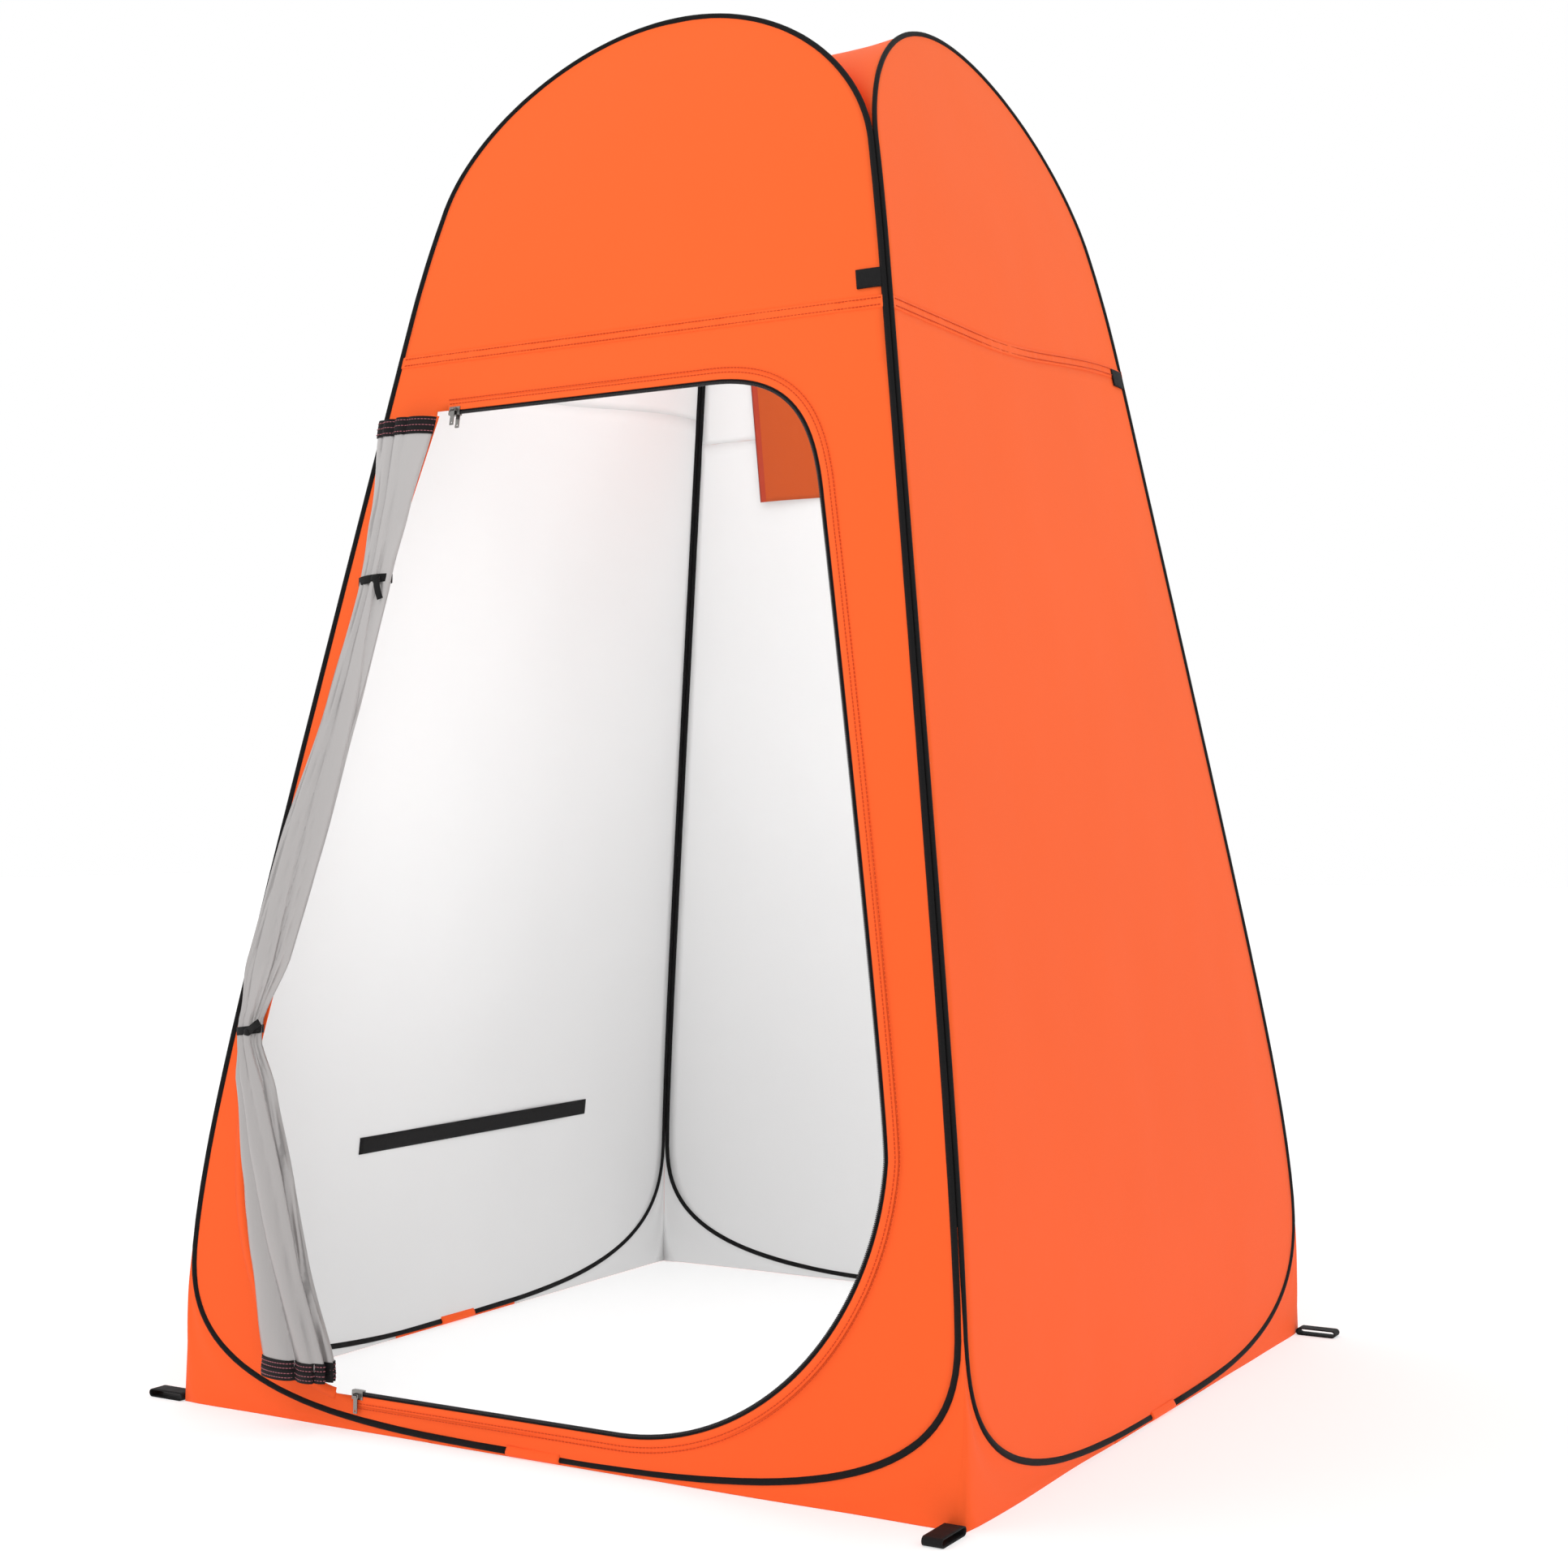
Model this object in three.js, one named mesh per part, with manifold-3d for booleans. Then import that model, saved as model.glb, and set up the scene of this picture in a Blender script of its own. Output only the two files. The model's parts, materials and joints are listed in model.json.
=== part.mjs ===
// Privacy shower tent: four spring-hoop walls, roof gores, gussets, zipped door tied open, rear window.
// Millimetres, +Z up, origin on the ground under the middle of the roof, door wall facing -Y.
import * as THREE from 'three';
import Module from 'manifold-3d';

const wasm = await Module();
wasm.setup();

// ---- driving dimensions -------------------------------------------------------------------------
const HEIGHT = 1900;            // ground to the top of the highest sleeve
const BASE_HALF = 601;          // half width of the straight wall line carried down to the ground
const LEAN = 0.175;             // how much each wall leans in, mm per mm of height
const FOOT_BEND = 250;          // height about which the wall turns from upright to leaning
const FOOT_SOFT = 200;          // softness of that turn
const CROWN_START = 1500;       // the walls lean in faster above this height
const CROWN_BEND = 2.25e-4;     // strength of that extra lean
const CLOTH = 1.2;              // drawn thickness of the coated cloth
const FIT = 0.3;                // gap left between pieces that touch
const SLEEVE_R = 6.5;           // hoop sleeve, outside radius
const SLEEVE_BORE = 4;
const WIRE_R = 2;               // spring-steel hoop
const SEAM_BACK = 9.6;          // hoop centre line set back from the corner line
const PART_Z = 1650;            // height where neighbouring hoops leave each other
const ROUND_Z = 247;            // height where the bottom corners start to round
const CORNER_POWER = 3.1;       // squareness of the rounded bottom corners
const SLEEVE_GAP = 40;          // half length of the break in each sleeve at the bottom
const FELL_Z = 1440;            // felled seam between lower and upper wall cloth
const ROOF_Z = 1880;            // middle of the roof
const ZIP_W = 15;               // width of the zip tape
const TOP_SLIDER_X = -278;
const LOW_SLIDER_X = -283;

// ---- small tools --------------------------------------------------------------------------------
const group = new THREE.Group();
group.name = 'privacy_shower_tent';

function finish(name, geometry, colour, roughness, metalness = 0) {
  geometry.computeVertexNormals();
  const material = new THREE.MeshStandardMaterial({ color: colour, roughness, metalness });
  const mesh = new THREE.Mesh(geometry, material);
  mesh.name = name;
  group.add(mesh);
}

// three.js geometry to a manifold solid: corner positions shared, everything else dropped
function solid(geometry) {
  const index = geometry.index;
  const pos = geometry.attributes.position;
  const count = index ? index.count : pos.count;
  const seen = new Map();
  const verts = [];
  const tris = [];
  for (let i = 0; i < count; i++) {
    const k = index ? index.getX(i) : i;
    const p = [pos.getX(k), pos.getY(k), pos.getZ(k)];
    const key = p.map((v) => Math.round(v * 1e4)).join();
    if (!seen.has(key)) {
      seen.set(key, verts.length / 3);
      verts.push(...p);
    }
    tris.push(seen.get(key));
  }
  const keep = [];
  for (let i = 0; i < tris.length; i += 3) {
    const [a, b, c] = tris.slice(i, i + 3);
    if (a !== b && b !== c && c !== a) keep.push(a, b, c);
  }
  return new wasm.Manifold(new wasm.Mesh({
    numProp: 3,
    vertProperties: new Float32Array(verts),
    triVerts: new Uint32Array(keep),
  }));
}

function geometryOf(manifold) {
  const mesh = manifold.getMesh();
  const g = new THREE.BufferGeometry();
  const xyz = new Float32Array(mesh.numVert * 3);
  for (let i = 0; i < mesh.numVert; i++) {
    for (let k = 0; k < 3; k++) xyz[i * 3 + k] = mesh.vertProperties[i * mesh.numProp + k];
  }
  g.setAttribute('position', new THREE.BufferAttribute(xyz, 3));
  g.setIndex(new THREE.BufferAttribute(new Uint32Array(mesh.triVerts), 1));
  return g;
}

function placed(geometry, matrix) {
  return solid(geometry.clone().applyMatrix4(matrix));
}

function box(w, d, h, x, y, z) {
  return placed(new THREE.BoxGeometry(w, d, h), new THREE.Matrix4().makeTranslation(x, y, z));
}

// ---- wall surface -------------------------------------------------------------------------------
function leanCurve(z) {
  const a = z - FOOT_BEND;
  const crown = Math.max(0, z - CROWN_START);
  return BASE_HALF - LEAN * (Math.hypot(a, FOOT_SOFT) + a) / 2 - CROWN_BEND * crown * crown;
}
const KNOTS = [-40, 110, 240, 370, 560, 800, 1080, 1380, 1560, 1720, 1960];
const KNOT_G = KNOTS.map(leanCurve);

// distance of a wall from the middle of the tent at height z, straight between the knots
function wall(z) {
  let k = 0;
  while (k < KNOTS.length - 2 && z > KNOTS[k + 1]) k++;
  const t = (z - KNOTS[k]) / (KNOTS[k + 1] - KNOTS[k]);
  return KNOT_G[k] + (KNOT_G[k + 1] - KNOT_G[k]) * t;
}

// layer of cloth on the front wall, from `inner` to `outer` mm outside the wall surface
function wallLayer(inner, outer) {
  const pts = [];
  KNOTS.forEach((z, k) => pts.push(new THREE.Vector2(-(KNOT_G[k] + outer), z)));
  [...KNOTS].reverse().forEach((z, k) => {
    pts.push(new THREE.Vector2(-(KNOT_G[KNOTS.length - 1 - k] + inner), z));
  });
  const geometry = new THREE.ExtrudeGeometry(new THREE.Shape(pts), { depth: 1400, bevelEnabled: false });
  const m = new THREE.Matrix4().makeBasis(
    new THREE.Vector3(0, 1, 0), new THREE.Vector3(0, 0, 1), new THREE.Vector3(1, 0, 0),
  );
  m.setPosition(-700, 0, 0);
  return placed(geometry, m);
}

// straight-through cutter on the front wall with the given outline in (x, z)
function cutter(points, holes = []) {
  const shape = new THREE.Shape(points);
  holes.forEach((h) => shape.holes.push(new THREE.Path(h)));
  const geometry = new THREE.ExtrudeGeometry(shape, { depth: 600, bevelEnabled: false, curveSegments: 6 });
  const m = new THREE.Matrix4().makeBasis(
    new THREE.Vector3(1, 0, 0), new THREE.Vector3(0, 0, 1), new THREE.Vector3(0, -1, 0),
  );
  m.setPosition(0, -150, 0);
  return placed(geometry, m);
}

function rectangle(x0, z0, x1, z1) {
  return cutter([[x0, z0], [x1, z0], [x1, z1], [x0, z1]].map((p) => new THREE.Vector2(...p)));
}

// closed outline moved outwards by d (inwards when d is negative); the outline runs anticlockwise
function offset(points, d) {
  const n = points.length;
  return points.map((p, i) => {
    const a = new THREE.Vector2().subVectors(p, points[(i + n - 1) % n]).normalize();
    const b = new THREE.Vector2().subVectors(points[(i + 1) % n], p).normalize();
    const out = new THREE.Vector2(a.y + b.y, -(a.x + b.x)).normalize();
    const half = out.x * a.y - out.y * a.x;
    return new THREE.Vector2().copy(p).addScaledVector(out, d / Math.max(0.6, half));
  });
}

// the four walls are the front wall turned about the middle: 0 front, 1 right, 2 back, 3 left
const SIDES = ['front', 'right', 'back', 'left'];
function turned(manifold, side) {
  return manifold.rotate([0, 0, 90 * side]);
}

// ---- hoop outline: bottom middle, round one corner, up, over the arch and down the other side ---
const LOW_Z = SLEEVE_R;
const TOP_Z = HEIGHT - SLEEVE_R;
function hoopPoint(x, z) {
  return new THREE.Vector3(x, -wall(z), z);
}
const rightHalf = [];
const cornerSteps = 7;
for (let i = 0; i < cornerSteps; i++) {
  const a = (Math.PI / 2) * (1 - i / cornerSteps) * 0.985;
  const z = ROUND_Z - (ROUND_Z - LOW_Z) * Math.sin(a) ** (2 / CORNER_POWER);
  rightHalf.push([(wall(z) - SEAM_BACK) * Math.cos(a) ** (2 / CORNER_POWER), z]);
}
rightHalf[0][1] = LOW_Z;
KNOTS.filter((z) => z > ROUND_Z && z < PART_Z).forEach((z) => rightHalf.push([wall(z) - SEAM_BACK, z]));
const archSteps = 8;
const archSlope = LEAN * 1.1;
for (let i = 0; i < archSteps; i++) {
  const a = (Math.PI / 2) * (i / archSteps);
  const z = PART_Z + (TOP_Z - PART_Z) * Math.sin(a);
  rightHalf.push([(wall(PART_Z) - SEAM_BACK - archSlope * (z - PART_Z)) * Math.cos(a), z]);
}
const ringHalf = rightHalf.map(([x, z]) => new THREE.Vector2(x, z));
const ring = [...ringHalf, new THREE.Vector2(0, TOP_Z)];
[...ringHalf].reverse().forEach((p) => ring.push(new THREE.Vector2(-p.x, p.y)));

// open path along the ring that starts and stops `gap` either side of the bottom middle
class HoopPath extends THREE.Curve {
  constructor(gap) {
    super();
    const flat = [new THREE.Vector2(gap, LOW_Z), ...ring, new THREE.Vector2(-gap, LOW_Z)];
    this.stations = flat.map((p) => hoopPoint(p.x, p.y));
  }
  getPoint(t, target = new THREE.Vector3()) {
    const f = Math.min(t, 1) * (this.stations.length - 1);
    const k = Math.min(Math.floor(f + 1e-9), this.stations.length - 2);
    return target.lerpVectors(this.stations[k], this.stations[k + 1], f - k);
  }
  getPointAt(t, target) {
    return this.getPoint(t, target);
  }
  getTangentAt(t, target) {
    return this.getTangent(t, target);
  }
  getSpacedPoints(n) {
    return this.getPoints(n);
  }
}

function circle(radius, sides, turn = 0) {
  const pts = [];
  for (let i = 0; i < sides; i++) {
    const a = turn + (2 * Math.PI * i) / sides;
    pts.push(new THREE.Vector2(radius * Math.cos(a), radius * Math.sin(a)));
  }
  return pts;
}

function swept(shape, gap) {
  const path = new HoopPath(gap);
  const steps = path.stations.length - 1;
  return solid(new THREE.ExtrudeGeometry(shape, { steps, extrudePath: path, bevelEnabled: false }));
}

const ORANGE = '#fb6a38';
const BLACK = '#161516';
const STEEL = '#8f9296';

// ---- hoops: spring steel, closed by a ferrule at the bottom, inside black sleeves ---------------
const sleeveShape = new THREE.Shape(circle(SLEEVE_R, 6));
sleeveShape.holes.push(new THREE.Path(circle(SLEEVE_BORE, 4, Math.PI / 4)));
const hoop = swept(new THREE.Shape(circle(WIRE_R, 4, Math.PI / 4)), 1);
const sleeve = swept(sleeveShape, SLEEVE_GAP);

function tube(outer, bore, halfLength, sides) {
  const shape = new THREE.Shape(circle(outer, sides, Math.PI / sides));
  shape.holes.push(new THREE.Path(circle(bore, sides, Math.PI / sides)));
  const geometry = new THREE.ExtrudeGeometry(shape, { depth: 2 * halfLength, bevelEnabled: false });
  const m = new THREE.Matrix4().makeBasis(
    new THREE.Vector3(0, 1, 0), new THREE.Vector3(0, 0, 1), new THREE.Vector3(1, 0, 0),
  );
  m.setPosition(-halfLength, -wall(LOW_Z), LOW_Z);
  return placed(geometry, m);
}
const ferrule = tube(4.2, 2.8, 25, 8);
const jointCover = tube(6.4, 5, SLEEVE_GAP - FIT, 8);

// ---- wall cloth: lower and upper pieces inside the hoop -----------------------------------------
const inside = offset(ring, -(SLEEVE_R + FIT));
const cloth = wallLayer(-CLOTH / 2, CLOTH / 2);
const wallCloth = cloth.intersect(cutter(inside));
const lower = wallCloth.intersect(rectangle(-700, -50, 700, FELL_Z - FIT / 2));
const upper = wallCloth.intersect(rectangle(-700, FELL_Z + FIT / 2, 700, 1950));

// door opening: straight top and foot on the tied side, large soft corners on the free side
function doorOutline() {
  const path = new THREE.Path();
  path.moveTo(-320, 52);
  path.lineTo(130, 52);
  path.bezierCurveTo(330, 56, 476, 220, 476, 400);
  path.bezierCurveTo(470, 480, 360, 1000, 318, 1190);
  path.bezierCurveTo(298, 1290, 262, 1356, 140, 1356);
  path.lineTo(-306, 1356);
  path.lineTo(-350, 1190);
  path.bezierCurveTo(-392, 1000, -498, 500, -507, 400);
  path.bezierCurveTo(-505, 180, -410, 62, -320, 52);
  const pts = path.getPoints(6);
  pts.pop();
  return pts;
}
const door = doorOutline();
const doorOuter = offset(door, ZIP_W);
const doorCut = offset(door, ZIP_W + FIT);
const edging = wallLayer(-0.5, 0.5).intersect(cutter(doorOuter)).subtract(cutter(door));
const HINGE_SIDE = [[-700, 100], [-290, 100], [-290, 1345], [-700, 1345]].map((p) => new THREE.Vector2(...p));
const doorHem = edging.intersect(cutter(HINGE_SIDE));
const zipTape = edging.subtract(cutter(offset(HINGE_SIDE, FIT)));

// window opening in the back wall, mesh in it and a curtain hanging inside it
const WINDOW = [[-210, 1470], [210, 1470], [190, 1650], [-190, 1650]].map((p) => new THREE.Vector2(...p));
const windowMesh = wallLayer(-0.4, 0.4).intersect(cutter(offset(WINDOW, -FIT)));
const CURTAIN_TOP = 1685;
const curtain = wallLayer(-CLOTH / 2 - 3.4, -CLOTH / 2 - 2.4)
  .intersect(rectangle(-272, 1335, 272, CURTAIN_TOP));
const curtainRail = wallLayer(-CLOTH / 2 - 3.6, -CLOTH / 2 - FIT)
  .intersect(rectangle(-272, CURTAIN_TOP + 1, 272, CURTAIN_TOP + 15));

SIDES.forEach((side, k) => {
  finish(`hoop_${side}`, geometryOf(turned(hoop, k)), STEEL, 0.35, 0.9);
  finish(`ferrule_${side}`, geometryOf(turned(ferrule, k)), STEEL, 0.3, 1);
  finish(`sleeve_${side}`, geometryOf(turned(sleeve, k)), BLACK, 0.85);
  finish(`joint_cover_${side}`, geometryOf(turned(jointCover, k)), ORANGE, 0.7);
  const low = side === 'front' ? lower.subtract(cutter(doorCut)) : lower;
  const high = side === 'back' ? upper.subtract(cutter(WINDOW)) : upper;
  finish(`wall_lower_${side}`, geometryOf(turned(low, k)), ORANGE, 0.7);
  finish(`wall_upper_${side}`, geometryOf(turned(high, k)), ORANGE, 0.7);
});
finish('zip_tape', geometryOf(zipTape), BLACK, 0.8);
finish('door_hem', geometryOf(doorHem), ORANGE, 0.7);
finish('window_mesh', geometryOf(turned(windowMesh, 2)), '#3a3a3c', 0.9);
finish('window_curtain', geometryOf(turned(curtain, 2)), '#d85a22', 0.75);
finish('curtain_rail', geometryOf(turned(curtainRail, 2)), '#b8431f', 0.75);

// ---- roof: one gore to each arch, meeting at the middle and falling to the four corners ---------
const topIndex = (ring.length - 1) / 2;
const archRow = [];
for (let i = -archSteps; i <= archSteps; i += 2) archRow.push(ring[topIndex + i]);
const goreRows = 5;
const goreCols = archRow.length - 1;
function gorePoint(s, column) {
  const edge = archRow[THREE.MathUtils.clamp(column, 0, goreCols)];
  const y = -(wall(edge.y) - SLEEVE_R - 2.5) * s - 1;
  return new THREE.Vector3(edge.x * s, y, ROOF_Z + (edge.y - ROOF_Z) * s ** 2.2);
}
// two skins of the same triangles, half the cloth's thickness either side of the gore, and a rim
const grid = new THREE.PlaneGeometry(1, 1, goreRows, goreCols);
const gridPoint = grid.attributes.position;
const skins = new Float32Array(gridPoint.count * 6);
for (let i = 0; i < gridPoint.count; i++) {
  const s = 0.03 + 0.97 * (gridPoint.getX(i) + 0.5);
  const column = Math.round((gridPoint.getY(i) + 0.5) * goreCols);
  const along = gorePoint(s + 0.02, column).sub(gorePoint(s - 0.02, column));
  const across = gorePoint(s, column + 1).sub(gorePoint(s, column - 1));
  const half = new THREE.Vector3().crossVectors(along, across).setLength(CLOTH / 2);
  gorePoint(s, column).add(half).toArray(skins, i * 3);
  gorePoint(s, column).sub(half).toArray(skins, (i + gridPoint.count) * 3);
}
const rim = [];
for (let i = 0; i < goreRows; i++) rim.push(i);
for (let j = 0; j < goreCols; j++) rim.push(goreRows + j * (goreRows + 1));
for (let i = goreRows; i > 0; i--) rim.push(goreCols * (goreRows + 1) + i);
for (let j = goreCols; j > 0; j--) rim.push(j * (goreRows + 1));
const faces = [...grid.index.array];
for (let i = 0; i < grid.index.count; i += 3) {
  const [a, b, c] = [0, 2, 1].map((k) => grid.index.getX(i + k) + gridPoint.count);
  faces.push(a, b, c);
}
rim.forEach((a, k) => {
  const b = rim[(k + 1) % rim.length];
  faces.push(a, b, a + gridPoint.count, b, b + gridPoint.count, a + gridPoint.count);
});
const goreGeometry = new THREE.BufferGeometry();
goreGeometry.setAttribute('position', new THREE.BufferAttribute(skins, 3));
goreGeometry.setIndex(faces);
let gore = solid(goreGeometry);
if (gore.volume() < 0) {
  goreGeometry.setIndex([...faces].reverse());
  gore = solid(goreGeometry);
}
SIDES.forEach((side, k) => finish(`roof_gore_${side}`, geometryOf(turned(gore, k)), ORANGE, 0.7));

// ---- gussets between the rounded feet of neighbouring hoops -------------------------------------
const outside = offset(ring, SLEEVE_R + FIT);
const rightFoot = cloth.intersect(rectangle(285, 0, wall(0) + CLOTH / 2, 335)).subtract(cutter(outside));
const cornerPost = [];
KNOTS.forEach((z) => cornerPost.push(new THREE.Vector2(wall(z) + CLOTH / 2, z)));
const insidePost = cutter([new THREE.Vector2(0, -40), ...cornerPost, new THREE.Vector2(0, 1960)]);
const rightWing = rightFoot.intersect(insidePost);
const leftWing = rightWing.mirror([1, 0, 0]);
const CORNERS = ['front_right', 'back_right', 'back_left', 'front_left'];
CORNERS.forEach((corner, k) => {
  const a = turned(rightWing, k);
  const b = turned(leftWing, (k + 1) % 4);
  if (corner === 'back_left') {
    const split = box(40, 40, 400, -wall(110), wall(110), 170);
    const clip = turned(cutter([...cornerPost.map((p) => new THREE.Vector2(-p.x + 2, p.y)),
      new THREE.Vector2(700, 1960), new THREE.Vector2(700, -40)]), 3);
    finish('gusset_back_left_rear', geometryOf(a.subtract(split.intersect(b))), ORANGE, 0.7);
    finish('gusset_back_left_side', geometryOf(b.intersect(clip)), ORANGE, 0.7);
  } else {
    finish(`gusset_${corner}`, geometryOf(a.add(b)), ORANGE, 0.7);
  }
});

// ---- black webbing: stake loops on the ground corners, guy tabs on the seams, strap inside ------
const LOOP_LONG = 62;
const LOOP_HIGH = 11;
const LOOP_WIDE = 25;
const WEB = 1.6;
function stadium(long, high) {
  const r = high / 2;
  const path = new THREE.Path();
  path.absarc(long - r, 0, r, -Math.PI / 2, Math.PI / 2, false);
  path.absarc(r, 0, r, Math.PI / 2, 1.5 * Math.PI, false);
  return path.getPoints(4);
}
const loopShape = new THREE.Shape(stadium(LOOP_LONG, LOOP_HIGH));
loopShape.holes.push(new THREE.Path(stadium(LOOP_LONG - 2 * WEB, LOOP_HIGH - 2 * WEB)
  .map((p) => new THREE.Vector2(p.x + WEB, p.y))));
const loopGeometry = new THREE.ExtrudeGeometry(loopShape, { depth: LOOP_WIDE, bevelEnabled: false });
const loopMatrix = new THREE.Matrix4().makeBasis(
  new THREE.Vector3(0, -1, 0), new THREE.Vector3(0, 0, 1), new THREE.Vector3(-1, 0, 0),
);
const groundCorner = wall(0) + CLOTH / 2;
loopMatrix.setPosition(groundCorner, -groundCorner - 0.5, LOOP_HIGH / 2);
const stakeLoop = placed(loopGeometry, loopMatrix);
const sleeveEdge = (z) => wall(z) - SEAM_BACK - SLEEVE_R - 1;
const tabShape = [[sleeveEdge(1470) - 46, 1459], [sleeveEdge(1459), 1459], [sleeveEdge(1484), 1484],
  [sleeveEdge(1470) - 46, 1484]].map((p) => new THREE.Vector2(...p));
const guyTab = wallLayer(CLOTH / 2 + FIT, CLOTH / 2 + FIT + 2.4).intersect(cutter(tabShape));
CORNERS.forEach((corner, k) => {
  finish(`stake_loop_${corner}`, geometryOf(turned(stakeLoop, k)), BLACK, 0.85);
  finish(`guy_tab_${corner}`, geometryOf(turned(guyTab, k)), BLACK, 0.85);
});
const strap = wallLayer(-CLOTH / 2 - FIT - 1.4, -CLOTH / 2 - FIT).intersect(rectangle(-323, 297, 255, 322));
finish('wall_strap', geometryOf(turned(strap, 3)), BLACK, 0.85);

// ---- door: rolled up and tied along its sewn edge, silver side out ------------------------------
// height, middle x, half width of the rolled door from foot to head, narrowest under the two ties
const ROLL = [
  [92, -362, 56], [215, -404, 46], [320, -434, 41], [436, -474, 32], [496, -500, 19], [524, -501, 19],
  [610, -476, 35], [763, -442, 37], [940, -402, 29], [1112, -371, 25], [1140, -368, 25],
  [1220, -356, 31], [1326, -342, 44],
];
const ROLL_GAP = 3;
function rollDepth(half) {
  return 8 + 0.28 * half;
}
function rollSection(z) {
  let k = 0;
  while (k < ROLL.length - 2 && z > ROLL[k + 1][0]) k++;
  const [z0, x0, h0] = ROLL[k];
  const [z1, x1, h1] = ROLL[k + 1];
  const t = (z - z0) / (z1 - z0);
  const half = h0 + (h1 - h0) * t;
  const y = -(wall(z) + CLOTH / 2 + ROLL_GAP + rollDepth(half));
  return { x: x0 + (x1 - x0) * t, y, half, depth: rollDepth(half) };
}
function rollPiece(z0, z1, rows, grow, levels) {
  const geometry = new THREE.CylinderGeometry(1, 1, 1, 10, rows);
  geometry.applyMatrix4(new THREE.Matrix4().makeRotationX(Math.PI / 2));
  const p = geometry.attributes.position;
  for (let i = 0; i < p.count; i++) {
    const row = Math.round((p.getZ(i) + 0.5) * rows);
    const z = levels ? levels[row] : z0 + ((z1 - z0) * row) / rows;
    const s = rollSection(z);
    p.setXYZ(i, s.x + p.getX(i) * (s.half + grow), s.y + p.getY(i) * (s.depth + grow), z);
  }
  return solid(geometry);
}
const levels = ROLL.map((r) => r[0]);
finish('door_roll', geometryOf(rollPiece(0, 0, levels.length - 1, 0, levels)), '#b9b7b6', 0.45);
finish('door_head_hem', geometryOf(rollPiece(1326.3, 1350, 1, 0)), BLACK, 0.8);
finish('door_foot_hem', geometryOf(rollPiece(62, 91.7, 1, 0)), BLACK, 0.8);
function tie(z, knot) {
  const band = rollPiece(z - 6, z + 6, 1, FIT + 1.5).subtract(rollPiece(z - 7, z + 7, 1, FIT));
  const s = rollSection(z);
  const knotBox = new THREE.BoxGeometry(16, 5, 10);
  const m = new THREE.Matrix4().makeRotationY(knot);
  m.setPosition(s.x, s.y - s.depth - FIT - 3.2, z);
  return band.add(placed(knotBox, m));
}
finish('tie_upper', geometryOf(tie(1126, 0.15)), BLACK, 0.85);
finish('tie_lower', geometryOf(tie(510, -0.6)), BLACK, 0.85);

// ---- zip sliders: each straddles the free edge of the tape, with a pull on both faces -----------
// local frame: x along the zip, y out of the wall (negative is outside), z across the tape
function rod(radius, length, x, y, z, sides = 10) {
  const m = new THREE.Matrix4().makeRotationZ(Math.PI / 2);
  m.setPosition(x, y, z);
  return placed(new THREE.CylinderGeometry(radius, radius, length, sides), m);
}
function sliderBody() {
  let body = box(18, 6.4, 12, 0, 0, 0).subtract(box(30, 2, 12, 0, 0, 1.1));
  [-1, 1].forEach((face) => {
    [-1, 1].forEach((end) => {
      body = body.add(box(1.6, 4.6, 5, end * 4.2, face * 5.3, 1));
    });
    body = body.add(rod(1, 8.4, 0, face * 6.2, 1));
  });
  return body;
}
function sliderPull(face) {
  const plate = box(6.2, 1.4, 21, 0, face * 6.2, -11);
  const holes = rod(1.4, 20, 0, 0, 0).rotate([0, 0, 90]).translate([0, face * 6.2, -18]);
  const eye = rod(2.4, 6.2, 0, face * 6.2, 1);
  return plate.add(eye).subtract(rod(1.35, 20, 0, face * 6.2, 1)).subtract(holes);
}
function onZip(manifold, x, z, flip) {
  const slope = Math.atan2(wall(z - 20) - wall(z + 20), 40);
  const upright = flip ? manifold.rotate([0, 180, 0]) : manifold;
  return upright.rotate([-THREE.MathUtils.radToDeg(slope), 0, 0]).translate([x, -wall(z), z]);
}
const HEAD_Z = 1356 + 4.4;
const FOOT_Z = 52 - 4.4;
finish('zip_slider_head', geometryOf(onZip(sliderBody(), TOP_SLIDER_X, HEAD_Z, false)), '#77797c', 0.3, 1);
finish('zip_slider_foot', geometryOf(onZip(sliderBody(), LOW_SLIDER_X, FOOT_Z, true)), '#77797c', 0.3, 1);
[['outside', -1], ['inside', 1]].forEach(([face, sign]) => {
  finish(`zip_pull_head_${face}`, geometryOf(onZip(sliderPull(sign), TOP_SLIDER_X, HEAD_Z, false)),
    '#77797c', 0.3, 1);
  finish(`zip_pull_foot_${face}`, geometryOf(onZip(sliderPull(sign), LOW_SLIDER_X, FOOT_Z, false)
    .translate([0, 0, -2])), '#77797c', 0.3, 1);
});

export default group;
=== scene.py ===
"""Privacy shower tent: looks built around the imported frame. Metres, +Z up, door wall facing -Y."""
import json
import math

import bmesh
import bpy
from mathutils import Matrix, Vector, noise

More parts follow.
